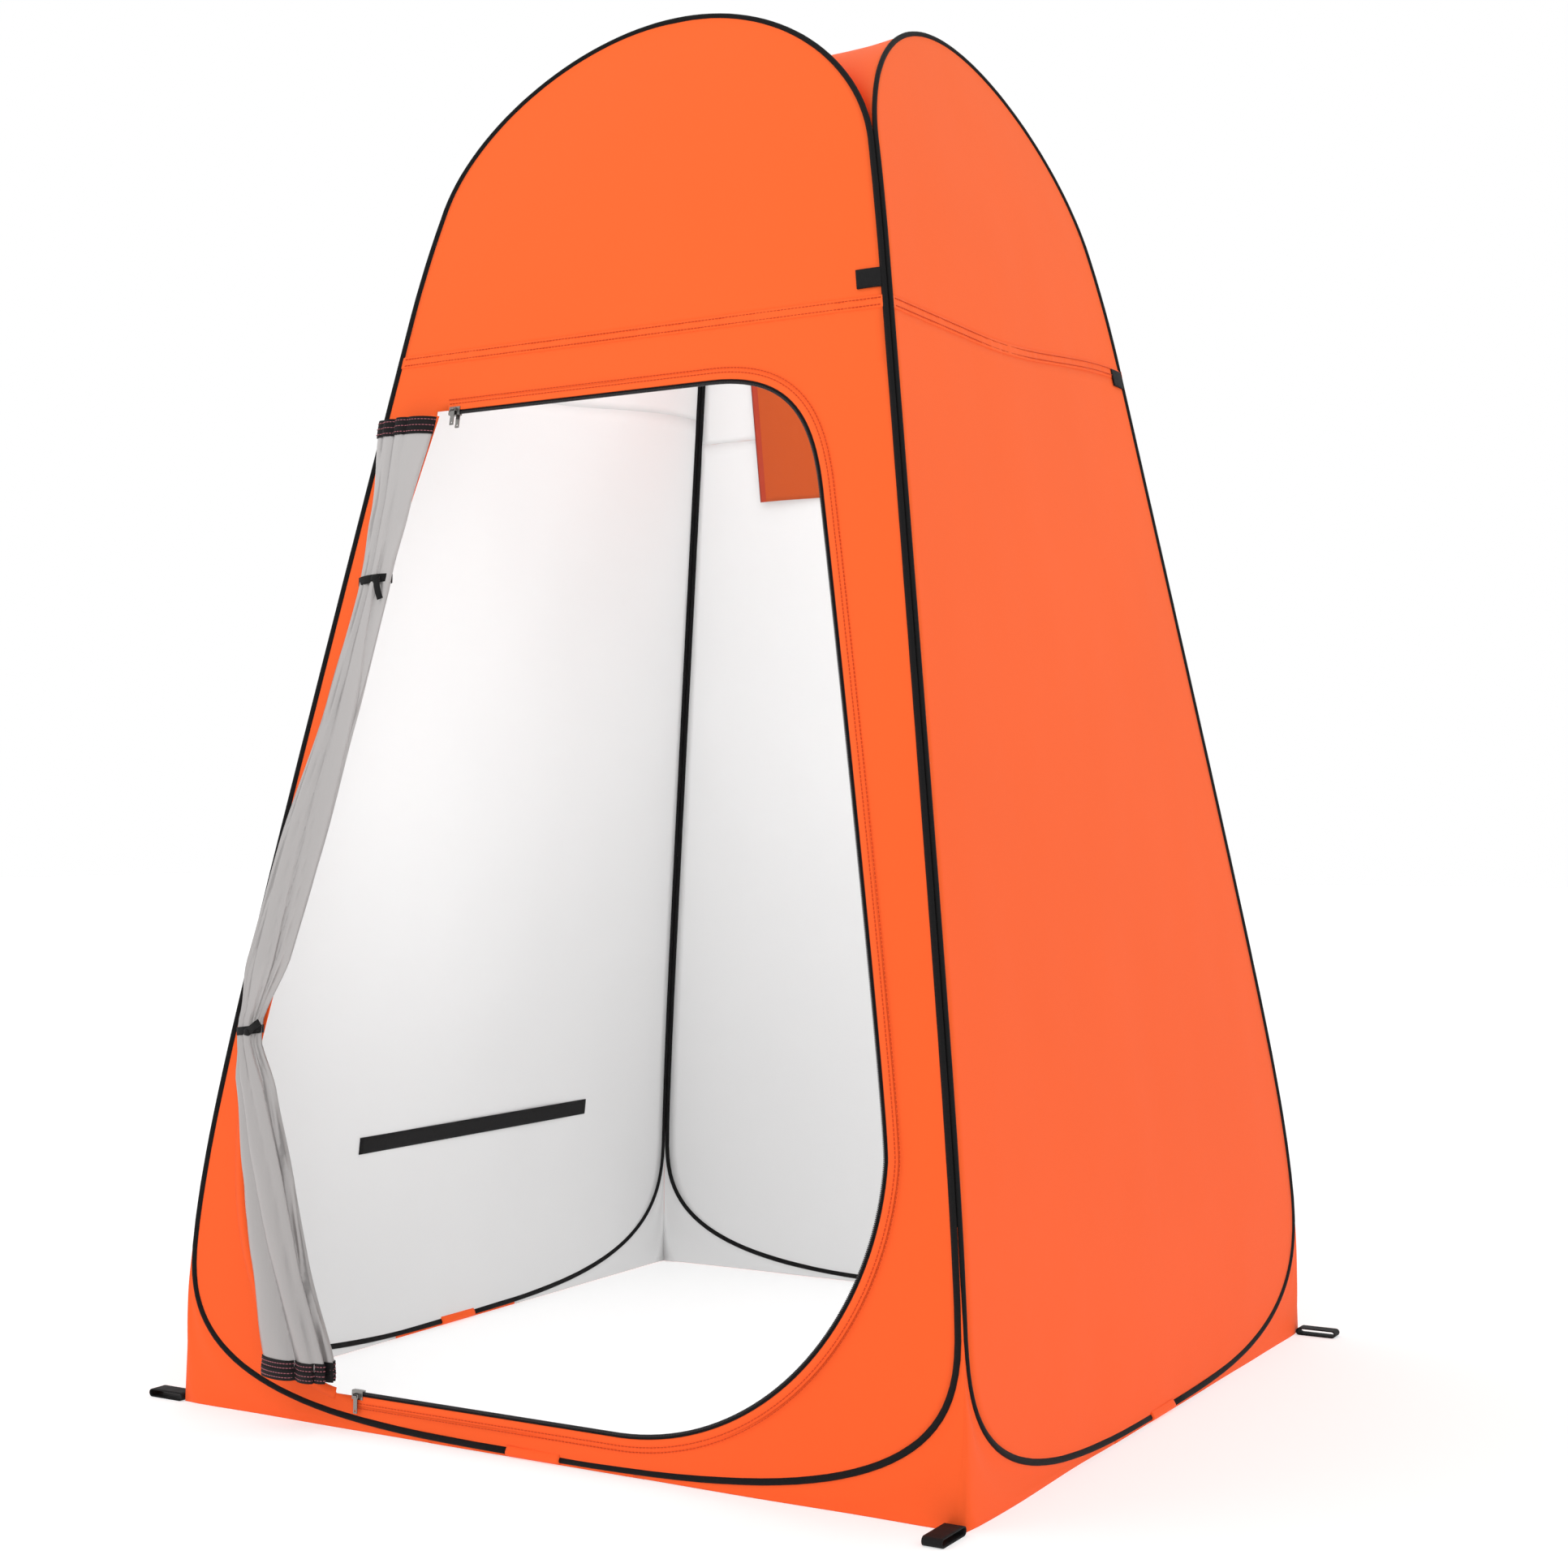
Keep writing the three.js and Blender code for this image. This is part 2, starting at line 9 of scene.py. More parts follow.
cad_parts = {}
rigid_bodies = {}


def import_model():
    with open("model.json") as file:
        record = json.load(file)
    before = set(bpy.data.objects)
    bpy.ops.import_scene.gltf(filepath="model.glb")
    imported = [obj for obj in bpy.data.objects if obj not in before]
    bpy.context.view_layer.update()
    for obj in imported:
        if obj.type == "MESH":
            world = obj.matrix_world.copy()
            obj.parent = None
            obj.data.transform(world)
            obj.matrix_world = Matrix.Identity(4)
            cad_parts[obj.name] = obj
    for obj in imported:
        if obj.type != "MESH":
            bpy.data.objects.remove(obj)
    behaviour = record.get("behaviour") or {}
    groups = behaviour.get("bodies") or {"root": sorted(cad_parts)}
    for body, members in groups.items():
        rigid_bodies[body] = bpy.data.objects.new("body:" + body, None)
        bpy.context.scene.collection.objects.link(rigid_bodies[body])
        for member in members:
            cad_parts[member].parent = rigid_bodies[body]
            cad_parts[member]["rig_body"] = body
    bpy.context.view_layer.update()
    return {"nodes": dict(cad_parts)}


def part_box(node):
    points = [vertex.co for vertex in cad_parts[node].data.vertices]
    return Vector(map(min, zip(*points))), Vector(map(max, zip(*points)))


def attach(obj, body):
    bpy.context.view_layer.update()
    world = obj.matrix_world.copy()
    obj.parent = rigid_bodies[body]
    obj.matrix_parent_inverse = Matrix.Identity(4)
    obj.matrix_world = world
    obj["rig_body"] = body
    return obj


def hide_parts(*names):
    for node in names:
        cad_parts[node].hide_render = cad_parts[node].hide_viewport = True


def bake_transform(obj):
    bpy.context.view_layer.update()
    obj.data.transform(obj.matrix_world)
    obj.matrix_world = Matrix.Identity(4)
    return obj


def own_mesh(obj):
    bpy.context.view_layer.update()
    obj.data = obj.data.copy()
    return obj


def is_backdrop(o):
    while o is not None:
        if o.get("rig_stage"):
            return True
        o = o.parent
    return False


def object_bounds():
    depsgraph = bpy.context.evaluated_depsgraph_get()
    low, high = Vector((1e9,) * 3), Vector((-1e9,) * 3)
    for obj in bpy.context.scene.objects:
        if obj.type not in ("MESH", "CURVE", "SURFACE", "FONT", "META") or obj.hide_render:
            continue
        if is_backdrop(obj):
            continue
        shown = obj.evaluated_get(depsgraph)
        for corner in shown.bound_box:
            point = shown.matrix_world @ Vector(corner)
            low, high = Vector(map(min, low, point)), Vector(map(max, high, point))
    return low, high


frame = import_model()
scene = bpy.context.scene


# ---- camera, floor and light ---------------------------------------------------------------------
# A standing view from the front right at chest height, and a plain white studio: a pale floor that runs
# into a white surround, one large soft light from the front left and a fill inside the doorway.
def linear(hex_colour):
    """sRGB hex to the linear colour that shaders take."""
    parts = [int(hex_colour[i : i + 2], 16) / 255 for i in (1, 3, 5)]
    return tuple(c / 12.92 if c < 0.04045 else ((c + 0.055) / 1.055) ** 2.4 for c in parts) + (1,)


def surface(name, hex_colour, roughness, **sockets):
    """A material and its shader, with everything that is the same all over set on the shader itself."""
    made = bpy.data.materials.new(name)
    made.use_nodes = True
    shader = made.node_tree.nodes["Principled BSDF"]
    shader.inputs["Base Color"].default_value = linear(hex_colour)
    shader.inputs["Roughness"].default_value = roughness
    for socket, value in sockets.items():
        shader.inputs[socket.replace("_", " ")].default_value = value
    return made, shader


def add(made, kind, settings, **links):
    """Adds one node with its settings, and links its named sockets from (node, output) pairs."""
    new = made.node_tree.nodes.new(kind)
    for key, value in settings.items():
        if isinstance(key, str) and hasattr(new, key):
            setattr(new, key, value)
        else:
            new.inputs[key].default_value = value
    for socket, (source, output) in links.items():
        target = int(socket[2:]) if socket.startswith("in") else socket.replace("_", " ")
        made.node_tree.links.new(source.outputs[output], new.inputs[target])
    return new


def wire(made, source, output, shader, socket):
    """Links one node's output to a shader socket."""
    made.node_tree.links.new(source.outputs[output], shader.inputs[socket])


def area_light(name, place, target, size, power):
    data = bpy.data.lights.new(name, "AREA")
    data.size = size
    data.energy = power
    lamp = bpy.data.objects.new(name, data)
    lamp.location = place
    lamp.rotation_euler = (Vector(target) - Vector(place)).to_track_quat("-Z", "Y").to_euler()
    lamp.visible_camera = False
    lamp.visible_glossy = False
    scene.collection.objects.link(lamp)


EYE = Vector((1.7086, -2.8894, 0.7783))
YAW = math.radians(29.86)
PITCH = math.radians(0.93)
camera_data = bpy.data.cameras.new("camera")
camera_data.sensor_width = 36
camera_data.lens = 52.4
camera_data.shift_x = -0.015
camera_data.shift_y = 0.0076
camera = bpy.data.objects.new("camera", camera_data)
camera.location = EYE
camera.rotation_euler = (math.radians(90) + PITCH, 0, YAW)
scene.collection.objects.link(camera)
scene.camera = camera

scene.view_settings.view_transform = "Standard"
scene.world = bpy.data.worlds.new("studio")
scene.world.use_nodes = True
scene.world.node_tree.nodes["Background"].inputs["Color"].default_value = (1, 1, 1, 1)
scene.world.node_tree.nodes["Background"].inputs["Strength"].default_value = 1.0
area_light("key", (-2.6, -3.4, 3.6), (0, 0, 0.9), 2.5, 26)
# two soft studio lights inside the tent brighten its lining
area_light("doorway_fill", (0.15, -0.42, 0.8), (-0.25, 0.6, 0.75), 0.6, 2.5)
area_light("roof_glow", (0.0, 0.0, 1.72), (0.0, 0.05, 0.0), 0.5, 1.7)

floor_mesh = bmesh.new()
bmesh.ops.create_grid(floor_mesh, x_segments=1, y_segments=1, size=30)
floor_data = bpy.data.meshes.new("floor")
floor_mesh.to_mesh(floor_data)
floor_mesh.free()
studio_white, shader = surface("studio_floor_paint", "#cfcfcf", 0.9, Specular_IOR_Level=0.1,
                                Emission_Color=(1, 1, 1, 1), Emission_Strength=0.48)
spot = add(studio_white, "ShaderNodeTexCoord", {})
speckle = add(studio_white, "ShaderNodeTexNoise", {"Scale": 40.0}, Vector=(spot, "Object"))
lift = add(studio_white, "ShaderNodeBump", {"Strength": 0.05, "Distance": 0.001}, Height=(speckle, "Fac"))
wire(studio_white, lift, "Normal", shader, "Normal")
floor_data.materials.append(studio_white)
floor = bpy.data.objects.new("floor", floor_data)
scene.collection.objects.link(floor)
floor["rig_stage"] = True


# ---- wall cloth ----------------------------------------------------------------------------------
# Four identical walls of orange polyester taffeta, coated silver-white on the inside, each stretched
# in its own hoop. A wall is two cloths, a tall lower one and an arched upper one, joined by a felled seam.
SIDES = ["front", "right", "back", "left"]
CLOTH = 0.0011
CORNER_GAP = 0.0048  # from the corner of two walls to each hoop's centre line
HOOP_INSET = 0.0012  # the cloth runs on under the sleeve, to this far inside the hoop's centre line
DOOR_FOOT, DOOR_HEAD = 0.052, 1.356
ZIP_SHOWS = 0.007  # black tape left showing between the rolled cloth edge and the zip


def wall(z):
    """Distance of every wall from the middle of the tent at height z."""
    bend = z - 0.250
    crown = max(0.0, z - 1.5)
    return 0.601 - 0.175 * (math.hypot(bend, 0.200) + bend) / 2 - 0.225 * crown * crown


def hoop_half(z):
    """Half width of a hoop's centre line at height z: rounded feet, straight sides, an arch on top."""
    if z < 0.247:
        turn = min(1.0, max(0.0, (0.247 - z) / 0.2405)) ** 1.55
        return (wall(z) - CORNER_GAP) * (1 - turn * turn) ** (1 / 3.1)
    if z < 1.650:
        return wall(z) - CORNER_GAP
    rise = min(1.0, (z - 1.650) / 0.2435)
    return (wall(1.650) - CORNER_GAP - 0.1925 * (z - 1.650)) * math.sqrt(1 - rise * rise)


def turned(side, x, y, z):
    """A point of the front wall carried round to wall number `side`."""
    for _ in range(side):
        x, y = -y, x
    return Vector((x, y, z))


def on_wall(side, x, z, out=0.0):
    return turned(side, x, -(wall(z) + out), z)


def sheet_mesh(columns, rows, place):
    """A grid of cells whose corners go to place(column, row), which gives a point and its cloth UV."""
    made = bmesh.new()
    bmesh.ops.create_grid(made, x_segments=columns, y_segments=rows, size=1)
    flat = made.loops.layers.uv.new("cloth")
    for corner in made.verts:
        column = round((corner.co.x + 1) / 2 * columns)
        row = round((corner.co.y + 1) / 2 * rows)
        corner.co, uv = place(column, row)
        for loop in corner.link_loops:
            loop[flat].uv = uv
    return made


def piece(name, made, body, slot, materials, *nodes):
    """Turns a bmesh into an object riding on its body, standing for the named nodes."""
    data = bpy.data.meshes.new(name)
    made.to_mesh(data)
    made.free()
    for each in materials:
        data.materials.append(each)
    data.polygons.foreach_set("use_smooth", [True] * len(data.polygons))
    new = bpy.data.objects.new(name, data)
    scene.collection.objects.link(new)
    if body:
        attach(new, body)
    if nodes:
        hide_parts(*nodes)
    return new


def thicken(new, thickness, offset=-1.0, inner=1):
    """Gives a sheet its thickness inwards, with its second material on the inner face."""
    solidify = new.modifiers.new("thickness", "SOLIDIFY")
    solidify.thickness = thickness
    solidify.offset = offset
    solidify.use_even_offset = False
    solidify.material_offset = inner
    return new


def cut_area(made):
    return sum(face.calc_area() for face in made.faces)


def woven(name, low_colour, lit_top_colour, roughness, crinkle, **sockets):
    """Taffeta: a fine plain weave, shallow crinkles from folding, and painted light: the colour runs darker
    at the foot and lighter towards the top, as light from above falls on it.
    """
    made, shader = surface(name, low_colour, roughness, **sockets)
    spot = add(made, "ShaderNodeTexCoord", {})
    # threads are 0.25 mm apart; drawn 1.6 mm apart so that the weave shows
    across = 0.314 / 0.0016
    warp = add(made, "ShaderNodeTexWave", {"bands_direction": "X", "Scale": across}, Vector=(spot, "UV"))
    weft = add(made, "ShaderNodeTexWave", {"bands_direction": "Y", "Scale": across}, Vector=(spot, "UV"))
    weave = add(made, "ShaderNodeMath", {"operation": "MULTIPLY"}, in0=(warp, "Fac"), in1=(weft, "Fac"))
    fine = add(made, "ShaderNodeBump", {"Strength": 0.12, "Distance": 0.0003}, Height=(weave, 0))
    folds = add(made, "ShaderNodeTexNoise", {"Scale": 7.0, "Detail": 5.0, "Roughness": 0.55},
                Vector=(spot, "Object"))
    coarse = add(made, "ShaderNodeBump", {"Strength": crinkle, "Distance": 0.012},
                 Height=(folds, "Fac"), Normal=(fine, "Normal"))
    wire(made, coarse, "Normal", shader, "Normal")
    # painted light: the base colour ramps from the foot colour at the ground to the lighter top colour at
    # 1.9 m, as light from above falls
    part = add(made, "ShaderNodeSeparateXYZ", {}, Vector=(spot, "Object"))
    height = add(made, "ShaderNodeMapRange", {"From Min": 0.0, "From Max": 1.9}, Value=(part, "Z"))
    height_shade_ramp = add(made, "ShaderNodeMixRGB", {"Color1": linear(low_colour), "Color2": linear(lit_top_colour)},
               Fac=(height, "Result"))
    blotch = add(made, "ShaderNodeTexNoise", {"Scale": 2.3, "Detail": 2.0}, Vector=(spot, "Object"))
    shade = add(made, "ShaderNodeMapRange", {"To Min": 0.955, "To Max": 1.03}, Value=(blotch, "Fac"))
    dye_blotch_and_height_shade = add(made, "ShaderNodeMixRGB", {"blend_type": "MULTIPLY", "Fac": 1.0},
               Color1=(height_shade_ramp, "Color"), Color2=(shade, "Result"))
    wire(made, dye_blotch_and_height_shade, "Color", shader, "Base Color")
    return made


# polyester taffeta with a polyurethane coat: matt, strongly dyed, a slight sheen at grazing angles; its two
# colours paint it darker at the foot and lighter at the top
orange_taffeta = woven("orange_polyester_taffeta", "#fa602a", "#fb692f", 0.62, 0.10,
                       Specular_IOR_Level=0.10, Sheen_Weight=0.02)
# aluminised acrylic back-coat: pale, smooth, faintly satin; its two colours paint it darker at the foot and
# lighter at the top
silver_lining = woven("aluminised_back_coat", "#dfdfdf", "#f6f6f6", 0.55, 0.05, Specular_IOR_Level=0.25)


def bernstein(t):
    return ((1 - t) ** 3, 3 * t * (1 - t) ** 2, 3 * t * t * (1 - t), t**3)


def bezier_line(points, count):
    return [tuple(sum(c * p[k] for c, p in zip(bernstein(i / count), points)) for k in (0, 1))
            for i in range(count)]


FREE_EDGE = [
    [(0.130, 0.052), (0.330, 0.056), (0.476, 0.220), (0.476, 0.400)],
    [(0.476, 0.400), (0.470, 0.480), (0.360, 1.000), (0.318, 1.190)],
    [(0.318, 1.190), (0.298, 1.290), (0.262, 1.356), (0.140, 1.356)],
]
SEWN_EDGE = [
    [(-0.306, 1.356), (-0.321, 1.300), (-0.336, 1.245), (-0.350, 1.190)],
    [(-0.350, 1.190), (-0.392, 1.000), (-0.498, 0.500), (-0.507, 0.400)],
    [(-0.507, 0.400), (-0.505, 0.180), (-0.410, 0.062), (-0.320, 0.052)],
]
door_line = [(-0.290 + 0.420 * i / 30, DOOR_FOOT) for i in range(30)]
for curve, count in zip(FREE_EDGE, (40, 50, 26)):
    door_line += bezier_line(curve, count)
door_line += [(0.140 - 0.430 * i / 30, DOOR_HEAD) for i in range(31)]
hem_line = []
for curve, count in zip(SEWN_EDGE, (10, 40, 40)):
    hem_line += bezier_line(curve, count)
hem_line.append((-0.320, DOOR_FOOT))


def outward(line, k):
    """Unit normal (x, z) of a line at point k, to its right, which is away from the doorway."""
    x0, z0 = line[max(0, k - 1)]
    x1, z1 = line[min(len(line) - 1, k + 1)]
    size = math.hypot(x1 - x0, z1 - z0)
    return (z1 - z0) / size, -(x1 - x0) / size


def moved_out(line, away):
    return [(x + outward(line, k)[0] * away, z + outward(line, k)[1] * away)
            for k, (x, z) in enumerate(line)]


def across_at(line, z):
    """x where a line that climbs or falls all the way passes height z, held at its ends beyond them."""
    line = sorted(line, key=lambda p: p[1])
    z = min(max(z, line[0][1]), line[-1][1])
    for (x0, z0), (x1, z1) in zip(line, line[1:]):
        if z <= z1:
            return x0 + (x1 - x0) * (z - z0) / max(1e-9, z1 - z0)
    return line[-1][0]


free_cut = moved_out(door_line, ZIP_SHOWS)[30:-30]
sewn_cut = moved_out(hem_line, 0.004)


def seam_height(side, x):
    """The felled seam is level on the front and back, and climbs a little to the back on the sides."""
    if side in (0, 2):
        return 1.440
    back = x if side == 1 else -x
    ease = min(1.0, max(0.0, (back + 0.12) / 0.5))
    return 1.440 + 0.040 * ease * ease * (3 - 2 * ease)


def ripple(side, x, z):
    """Shallow slack of the stretched cloth, zero at its edges, with puckers beside the seam."""
    edge = min(1.0, max(0.0, (hoop_half(z) - abs(x)) / 0.10))
    slack = noise.noise(Vector((x * 3.1, z * 2.3, side * 7.0)))
    slack += 0.5 * noise.noise(Vector((x * 9.0, z * 5.0, side * 11.0 + 3)))
    from_seam = abs(z - seam_height(side, x))
    pucker = 0.0009 * math.exp(-from_seam / 0.016) * noise.noise(Vector((x * 95, side * 5.0, 0.5)))
    return 0.0022 * edge * slack + pucker


def rows_from(levels, step):
    """Row heights from the first level to the last, about `step` apart, with a row at every level."""
    out = [levels[0]]
    for low, high in zip(levels, levels[1:]):
        count = max(1, round((high - low) / step))
        out += [low + (high - low) * (i + 1) / count for i in range(count)]
    return out


FOOT_ROWS = [0.247 - 0.240 * math.sin(math.pi / 2 * (1 - i / 16)) ** (2 / 3.1) for i in range(17)]
HEAD_ROWS = [1.650 + 0.2405 * math.sin(math.pi / 2 * i / 22) for i in range(1, 23)]


def hole_of(side, part):
    return {(0, "lower"): "door", (2, "upper"): "window"}.get((side, part))


def wall_cloth(side, part):
    """One cloth of a wall, with the doorway or the window left open in it."""
    hole = hole_of(side, part)
    if part == "lower":
        rows = rows_from(FOOT_ROWS, 0.03) + rows_from([0.247, 1.40, 1.44], 0.02)[1:]
        if hole:
            heads = [DOOR_HEAD + ZIP_SHOWS - 0.166 * (1 - math.sin(math.pi / 2 * i / 14))
                     for i in range(15)]
            feet = [DOOR_FOOT - ZIP_SHOWS + 0.202 * (1 - math.cos(math.pi / 2 * i / 16)) for i in range(17)]
            low = [z for z in FOOT_ROWS if z < feet[0] - 0.004]
            rows = low + feet + rows_from([feet[-1], heads[0]], 0.02)[1:] + heads[1:]
            rows += rows_from([heads[-1], 1.40, 1.44], 0.012)[1:]
    else:
        rows = rows_from([1.44, 1.48, 1.65], 0.012) + HEAD_ROWS
        if hole:
            rows = rows_from([1.44, 1.47, 1.65], 0.012) + HEAD_ROWS
    if hole == "door":
        spans = [14, 34, 14]
    elif hole == "window":
        spans = [10, 30, 10]
    else:
        spans = [0, 56, 0]

    def cut_line(z):
        if hole == "door":
            left, right = across_at(sewn_cut, z), across_at(free_cut, z)
            inside = min(max(z, DOOR_FOOT - ZIP_SHOWS), DOOR_HEAD + ZIP_SHOWS)
            narrow = hoop_half(z) / hoop_half(inside)
            left, right = left * narrow, right * narrow
            return left, right
        lean = (min(max(z, 1.47), 1.65) - 1.47) / 0.18
        x = min(0.210 - 0.020 * lean, 0.75 * hoop_half(z) + 1e-5)
        return -x, x

    def place(column, row):
        z = rows[row]
        half = max(0.0, hoop_half(z) - HOOP_INSET)
        left, right = cut_line(z) if hole else (-half, half)
        if column <= spans[0]:
            x = -half + (left + half) * column / max(1, spans[0])
        elif column <= spans[0] + spans[1]:
            x = left + (right - left) * (column - spans[0]) / spans[1]
        else:
            x = right + (half - right) * (column - spans[0] - spans[1]) / spans[2]
        shift = seam_height(side, x) - 1.440
        span = (z / 1.440) if z < 1.440 else max(0.0, (1.65 - z) / 0.21)
        z_here = z + shift * (span**6 if z < 1.440 else span)
        return on_wall(side, x, z_here, ripple(side, x, z_here) + CLOTH / 2), (x, z_here)

    made = sheet_mesh(sum(spans), len(rows) - 1, place)
    if hole:
        low, high = (DOOR_FOOT - ZIP_SHOWS, DOOR_HEAD + ZIP_SHOWS) if hole == "door" else (1.47, 1.65)

        def in_hole(face):
            middle = face.calc_center_median()
            x = middle.x if side == 0 else -middle.x
            left, right = cut_line(middle.z)
            return low < middle.z < high and left < x < right

        gone = [face for face in made.faces if in_hole(face)]
        bmesh.ops.delete(made, geom=gone, context="FACES")
    bmesh.ops.remove_doubles(made, verts=made.verts, dist=0.00002)
    return made, cut_area(made)


for side, name in enumerate(SIDES):
    for part, height in (("lower", 1.44), ("upper", 0.46)):
        mesh, area = wall_cloth(side, part)
        wide = 2 * wall(0.0) if part == "lower" else 2 * wall(1.44)
        if hole_of(side, part) == "door":
            # the doorway leaves a fifth of this cloth's 1.19 m wide cut, so its width is taken at its mean
            # width, which gives 0.42 square metres of cloth where there is really 0.34; it is stated at its
            # mean width, with 0.42 square metres of cloth where there is really 0.34
            wide = 2 * wall(0.9)
        cloth = piece(f"cloth_{part}_{name}", mesh, f"{name}_wall", "orange_cloth",
                      [orange_taffeta, silver_lining], f"wall_{part}_{name}")
        thicken(cloth, CLOTH)


# ---- felled seams --------------------------------------------------------------------------------
# The two cloths of a wall are folded into each other and sewn down with two rows of orange thread,
# which leaves a low raised band across the wall, puckered where the thread pulls.
SEAM_HALF = 0.0075


def seam_band(side):
    rows = [-1.15, -1.0, -0.8, -0.3, 0.3, 0.8, 1.0, 1.15]

    def place(column, row):
        along = -1 + 2 * column / 240
        x = along * (hoop_half(1.44) - HOOP_INSET)
        z = seam_height(side, x) + rows[row] * SEAM_HALF
        pull = 0.0005 * noise.noise(Vector((x * 130, side * 9.0, rows[row]))) + 0.0005
        rise = -0.0004 if abs(rows[row]) > 1.1 else 0.0008 + pull * (1 - 0.5 * abs(rows[row]))
        return on_wall(side, x, z, ripple(side, x, z) + CLOTH / 2 + rise), (x, z)

    return sheet_mesh(240, len(rows) - 1, place)


def stitch_row(made, points, outs, pitch=0.0052, length=0.0036, width=0.0009):
    """Adds one small rounded-off block of thread per stitch along a line of points."""
    travelled, due = 0.0, pitch / 2
    for here, there, out in zip(points, points[1:], outs):
        step = there - here
        while step.length and travelled + step.length >= due:
            middle = here + step * ((due - travelled) / step.length)
            run = step.normalized()
            side_way = out.cross(run).normalized()
            turn = Matrix((run, side_way, out)).transposed().to_4x4()
            size = Matrix.Diagonal((length, width, width, 1))
            bmesh.ops.create_cube(made, size=1, matrix=Matrix.Translation(middle) @ turn @ size)
            due += pitch
        travelled += step.length
    return made


orange_thread, shader = surface("orange_polyester_thread", "#d2481c", 0.7, Specular_IOR_Level=0.2)
spot = add(orange_thread, "ShaderNodeTexCoord", {})
twist = add(orange_thread, "ShaderNodeTexNoise", {"Scale": 900.0}, Vector=(spot, "Object"))
ply = add(orange_thread, "ShaderNodeBump", {"Strength": 0.4, "Distance": 0.0003}, Height=(twist, "Fac"))
wire(orange_thread, ply, "Normal", shader, "Normal")

for side, name in enumerate(SIDES):
    piece(f"seam_{name}", seam_band(side), f"{name}_wall", "orange_cloth", [orange_taffeta])
    thread = bmesh.new()
    for row in (-0.62, 0.62):
        xs = [(-1 + 2 * i / 60) * (hoop_half(1.44) - 0.008) for i in range(61)]
        line = [on_wall(side, x, seam_height(side, x) + row * SEAM_HALF, CLOTH / 2 + 0.0017) for x in xs]
        stitch_row(thread, line, [turned(side, 0, -1, 0.15).normalized()] * 60)
    piece(f"seam_thread_{name}", thread, f"{name}_wall", "orange_cloth", [orange_thread])


# ---- hoops and their sleeves ---------------------------------------------------------------------
# Each wall's frame is a spring-steel hoop, closed by a crimped ferrule at the foot and run through a
# sleeve of black polyester binding sewn to the wall's edge. The sleeve stops short of the ferrule,
# where a patch of orange cloth covers the joint.
def hoop_station(z):
    return hoop_half(z), z


def hoop_line(gap, steps=1):
    """Points (x, z) round the hoop from just right of the foot to just left of it."""
    right = []
    for i in range(1, 30 * steps + 1):
        turn = math.pi / 2 * i / (30 * steps)
        x = (wall(0.1) - CORNER_GAP) * math.sin(turn) ** (2 / 3.1)
        z = 0.247 - 0.2405 * math.cos(turn) ** (2 / 3.1)
        if x > gap + 0.004:
            right.append((hoop_half(z) if z > 0.02 else x, z))
    right = [(gap, 0.0065)] + right
    right += [hoop_station(0.247 + (1.65 - 0.247) * i / 60) for i in range(1, 60)]
    for i in range(0, 31):
        turn = math.pi / 2 * i / 31
        right.append(hoop_station(1.650 + 0.2435 * math.sin(turn)))
    left = [(-x, z) for x, z in reversed(right)]
    return right + [(0.0, 1.8935)] + left


def binding(name, low_colour, roughness):
    """Black polyester grosgrain: fine cross ribs, a dusty matt surface."""
    made, shader = surface(name, low_colour, roughness, Specular_IOR_Level=0.25)
    spot = add(made, "ShaderNodeTexCoord", {})
    # ribs are 0.8 mm apart; drawn 1.6 mm apart so that they show
    ribs = add(made, "ShaderNodeTexWave", {"bands_direction": "Y", "Scale": 0.314 / 0.0016,
               "Distortion": 0.4}, Vector=(spot, "UV"))
    fluff = add(made, "ShaderNodeTexNoise", {"Scale": 160.0, "Detail": 3.0}, Vector=(spot, "Object"))
    both = add(made, "ShaderNodeMath", {"operation": "ADD"}, in0=(ribs, "Fac"), in1=(fluff, "Fac"))
    bump = add(made, "ShaderNodeBump", {"Strength": 0.35, "Distance": 0.0006}, Height=(both, 0))
    wire(made, bump, "Normal", shader, "Normal")
    wear = add(made, "ShaderNodeMapRange", {"To Min": 0.6, "To Max": 1.5}, Value=(fluff, "Fac"))
    tint = add(made, "ShaderNodeMixRGB", {"blend_type": "MULTIPLY", "Fac": 1.0,
               "Color1": linear(low_colour)}, Color2=(wear, "Result"))
    wire(made, tint, "Color", shader, "Base Color")
    return made


black_binding = binding("black_polyester_binding", "#0b0a0b", 0.8)


def tube_round_hoop(side, line, radius, sides=14):
    """A sleeve swept along the hoop, slightly gathered, with a flat seam allowance on its inner side."""
    length = [0.0]
    for (x0, z0), (x1, z1) in zip(line, line[1:]):
        length.append(length[-1] + math.hypot(x1 - x0, z1 - z0))

    def place(column, row):
        x, z = line[row]
        x0, z0 = line[max(0, row - 1)]
        x1, z1 = line[min(len(line) - 1, row + 1)]
        run = Vector((x1 - x0, -(wall(z1) - wall(z0)), z1 - z0)).normalized()
        out = Vector((0, -1, 0))
        inward = out.cross(run).normalized()
        out = run.cross(inward).normalized()
        turn = 2 * math.pi * (column % sides) / sides
        swell = radius * (1 + 0.05 * noise.noise(Vector((length[row] * 60, turn, side * 3.0))))
        reach = swell * (1.0 + 0.6 * max(0.0, math.cos(turn)) ** 4)
        spot = Vector((x, -wall(z), z)) + inward * (math.cos(turn) * reach)
        spot += out * (math.sin(turn) * swell * (1 - 0.25 * max(0.0, math.cos(turn)) ** 2))
        return turned(side, *spot), (turn * radius, length[row])

    made = sheet_mesh(sides, len(line) - 1, place)
    bmesh.ops.remove_doubles(made, verts=made.verts, dist=0.00002)
    ends = [edge for edge in made.edges if edge.is_boundary]
    bmesh.ops.holes_fill(made, edges=ends, sides=0)
    bmesh.ops.recalc_face_normals(made, faces=made.faces)
    return made


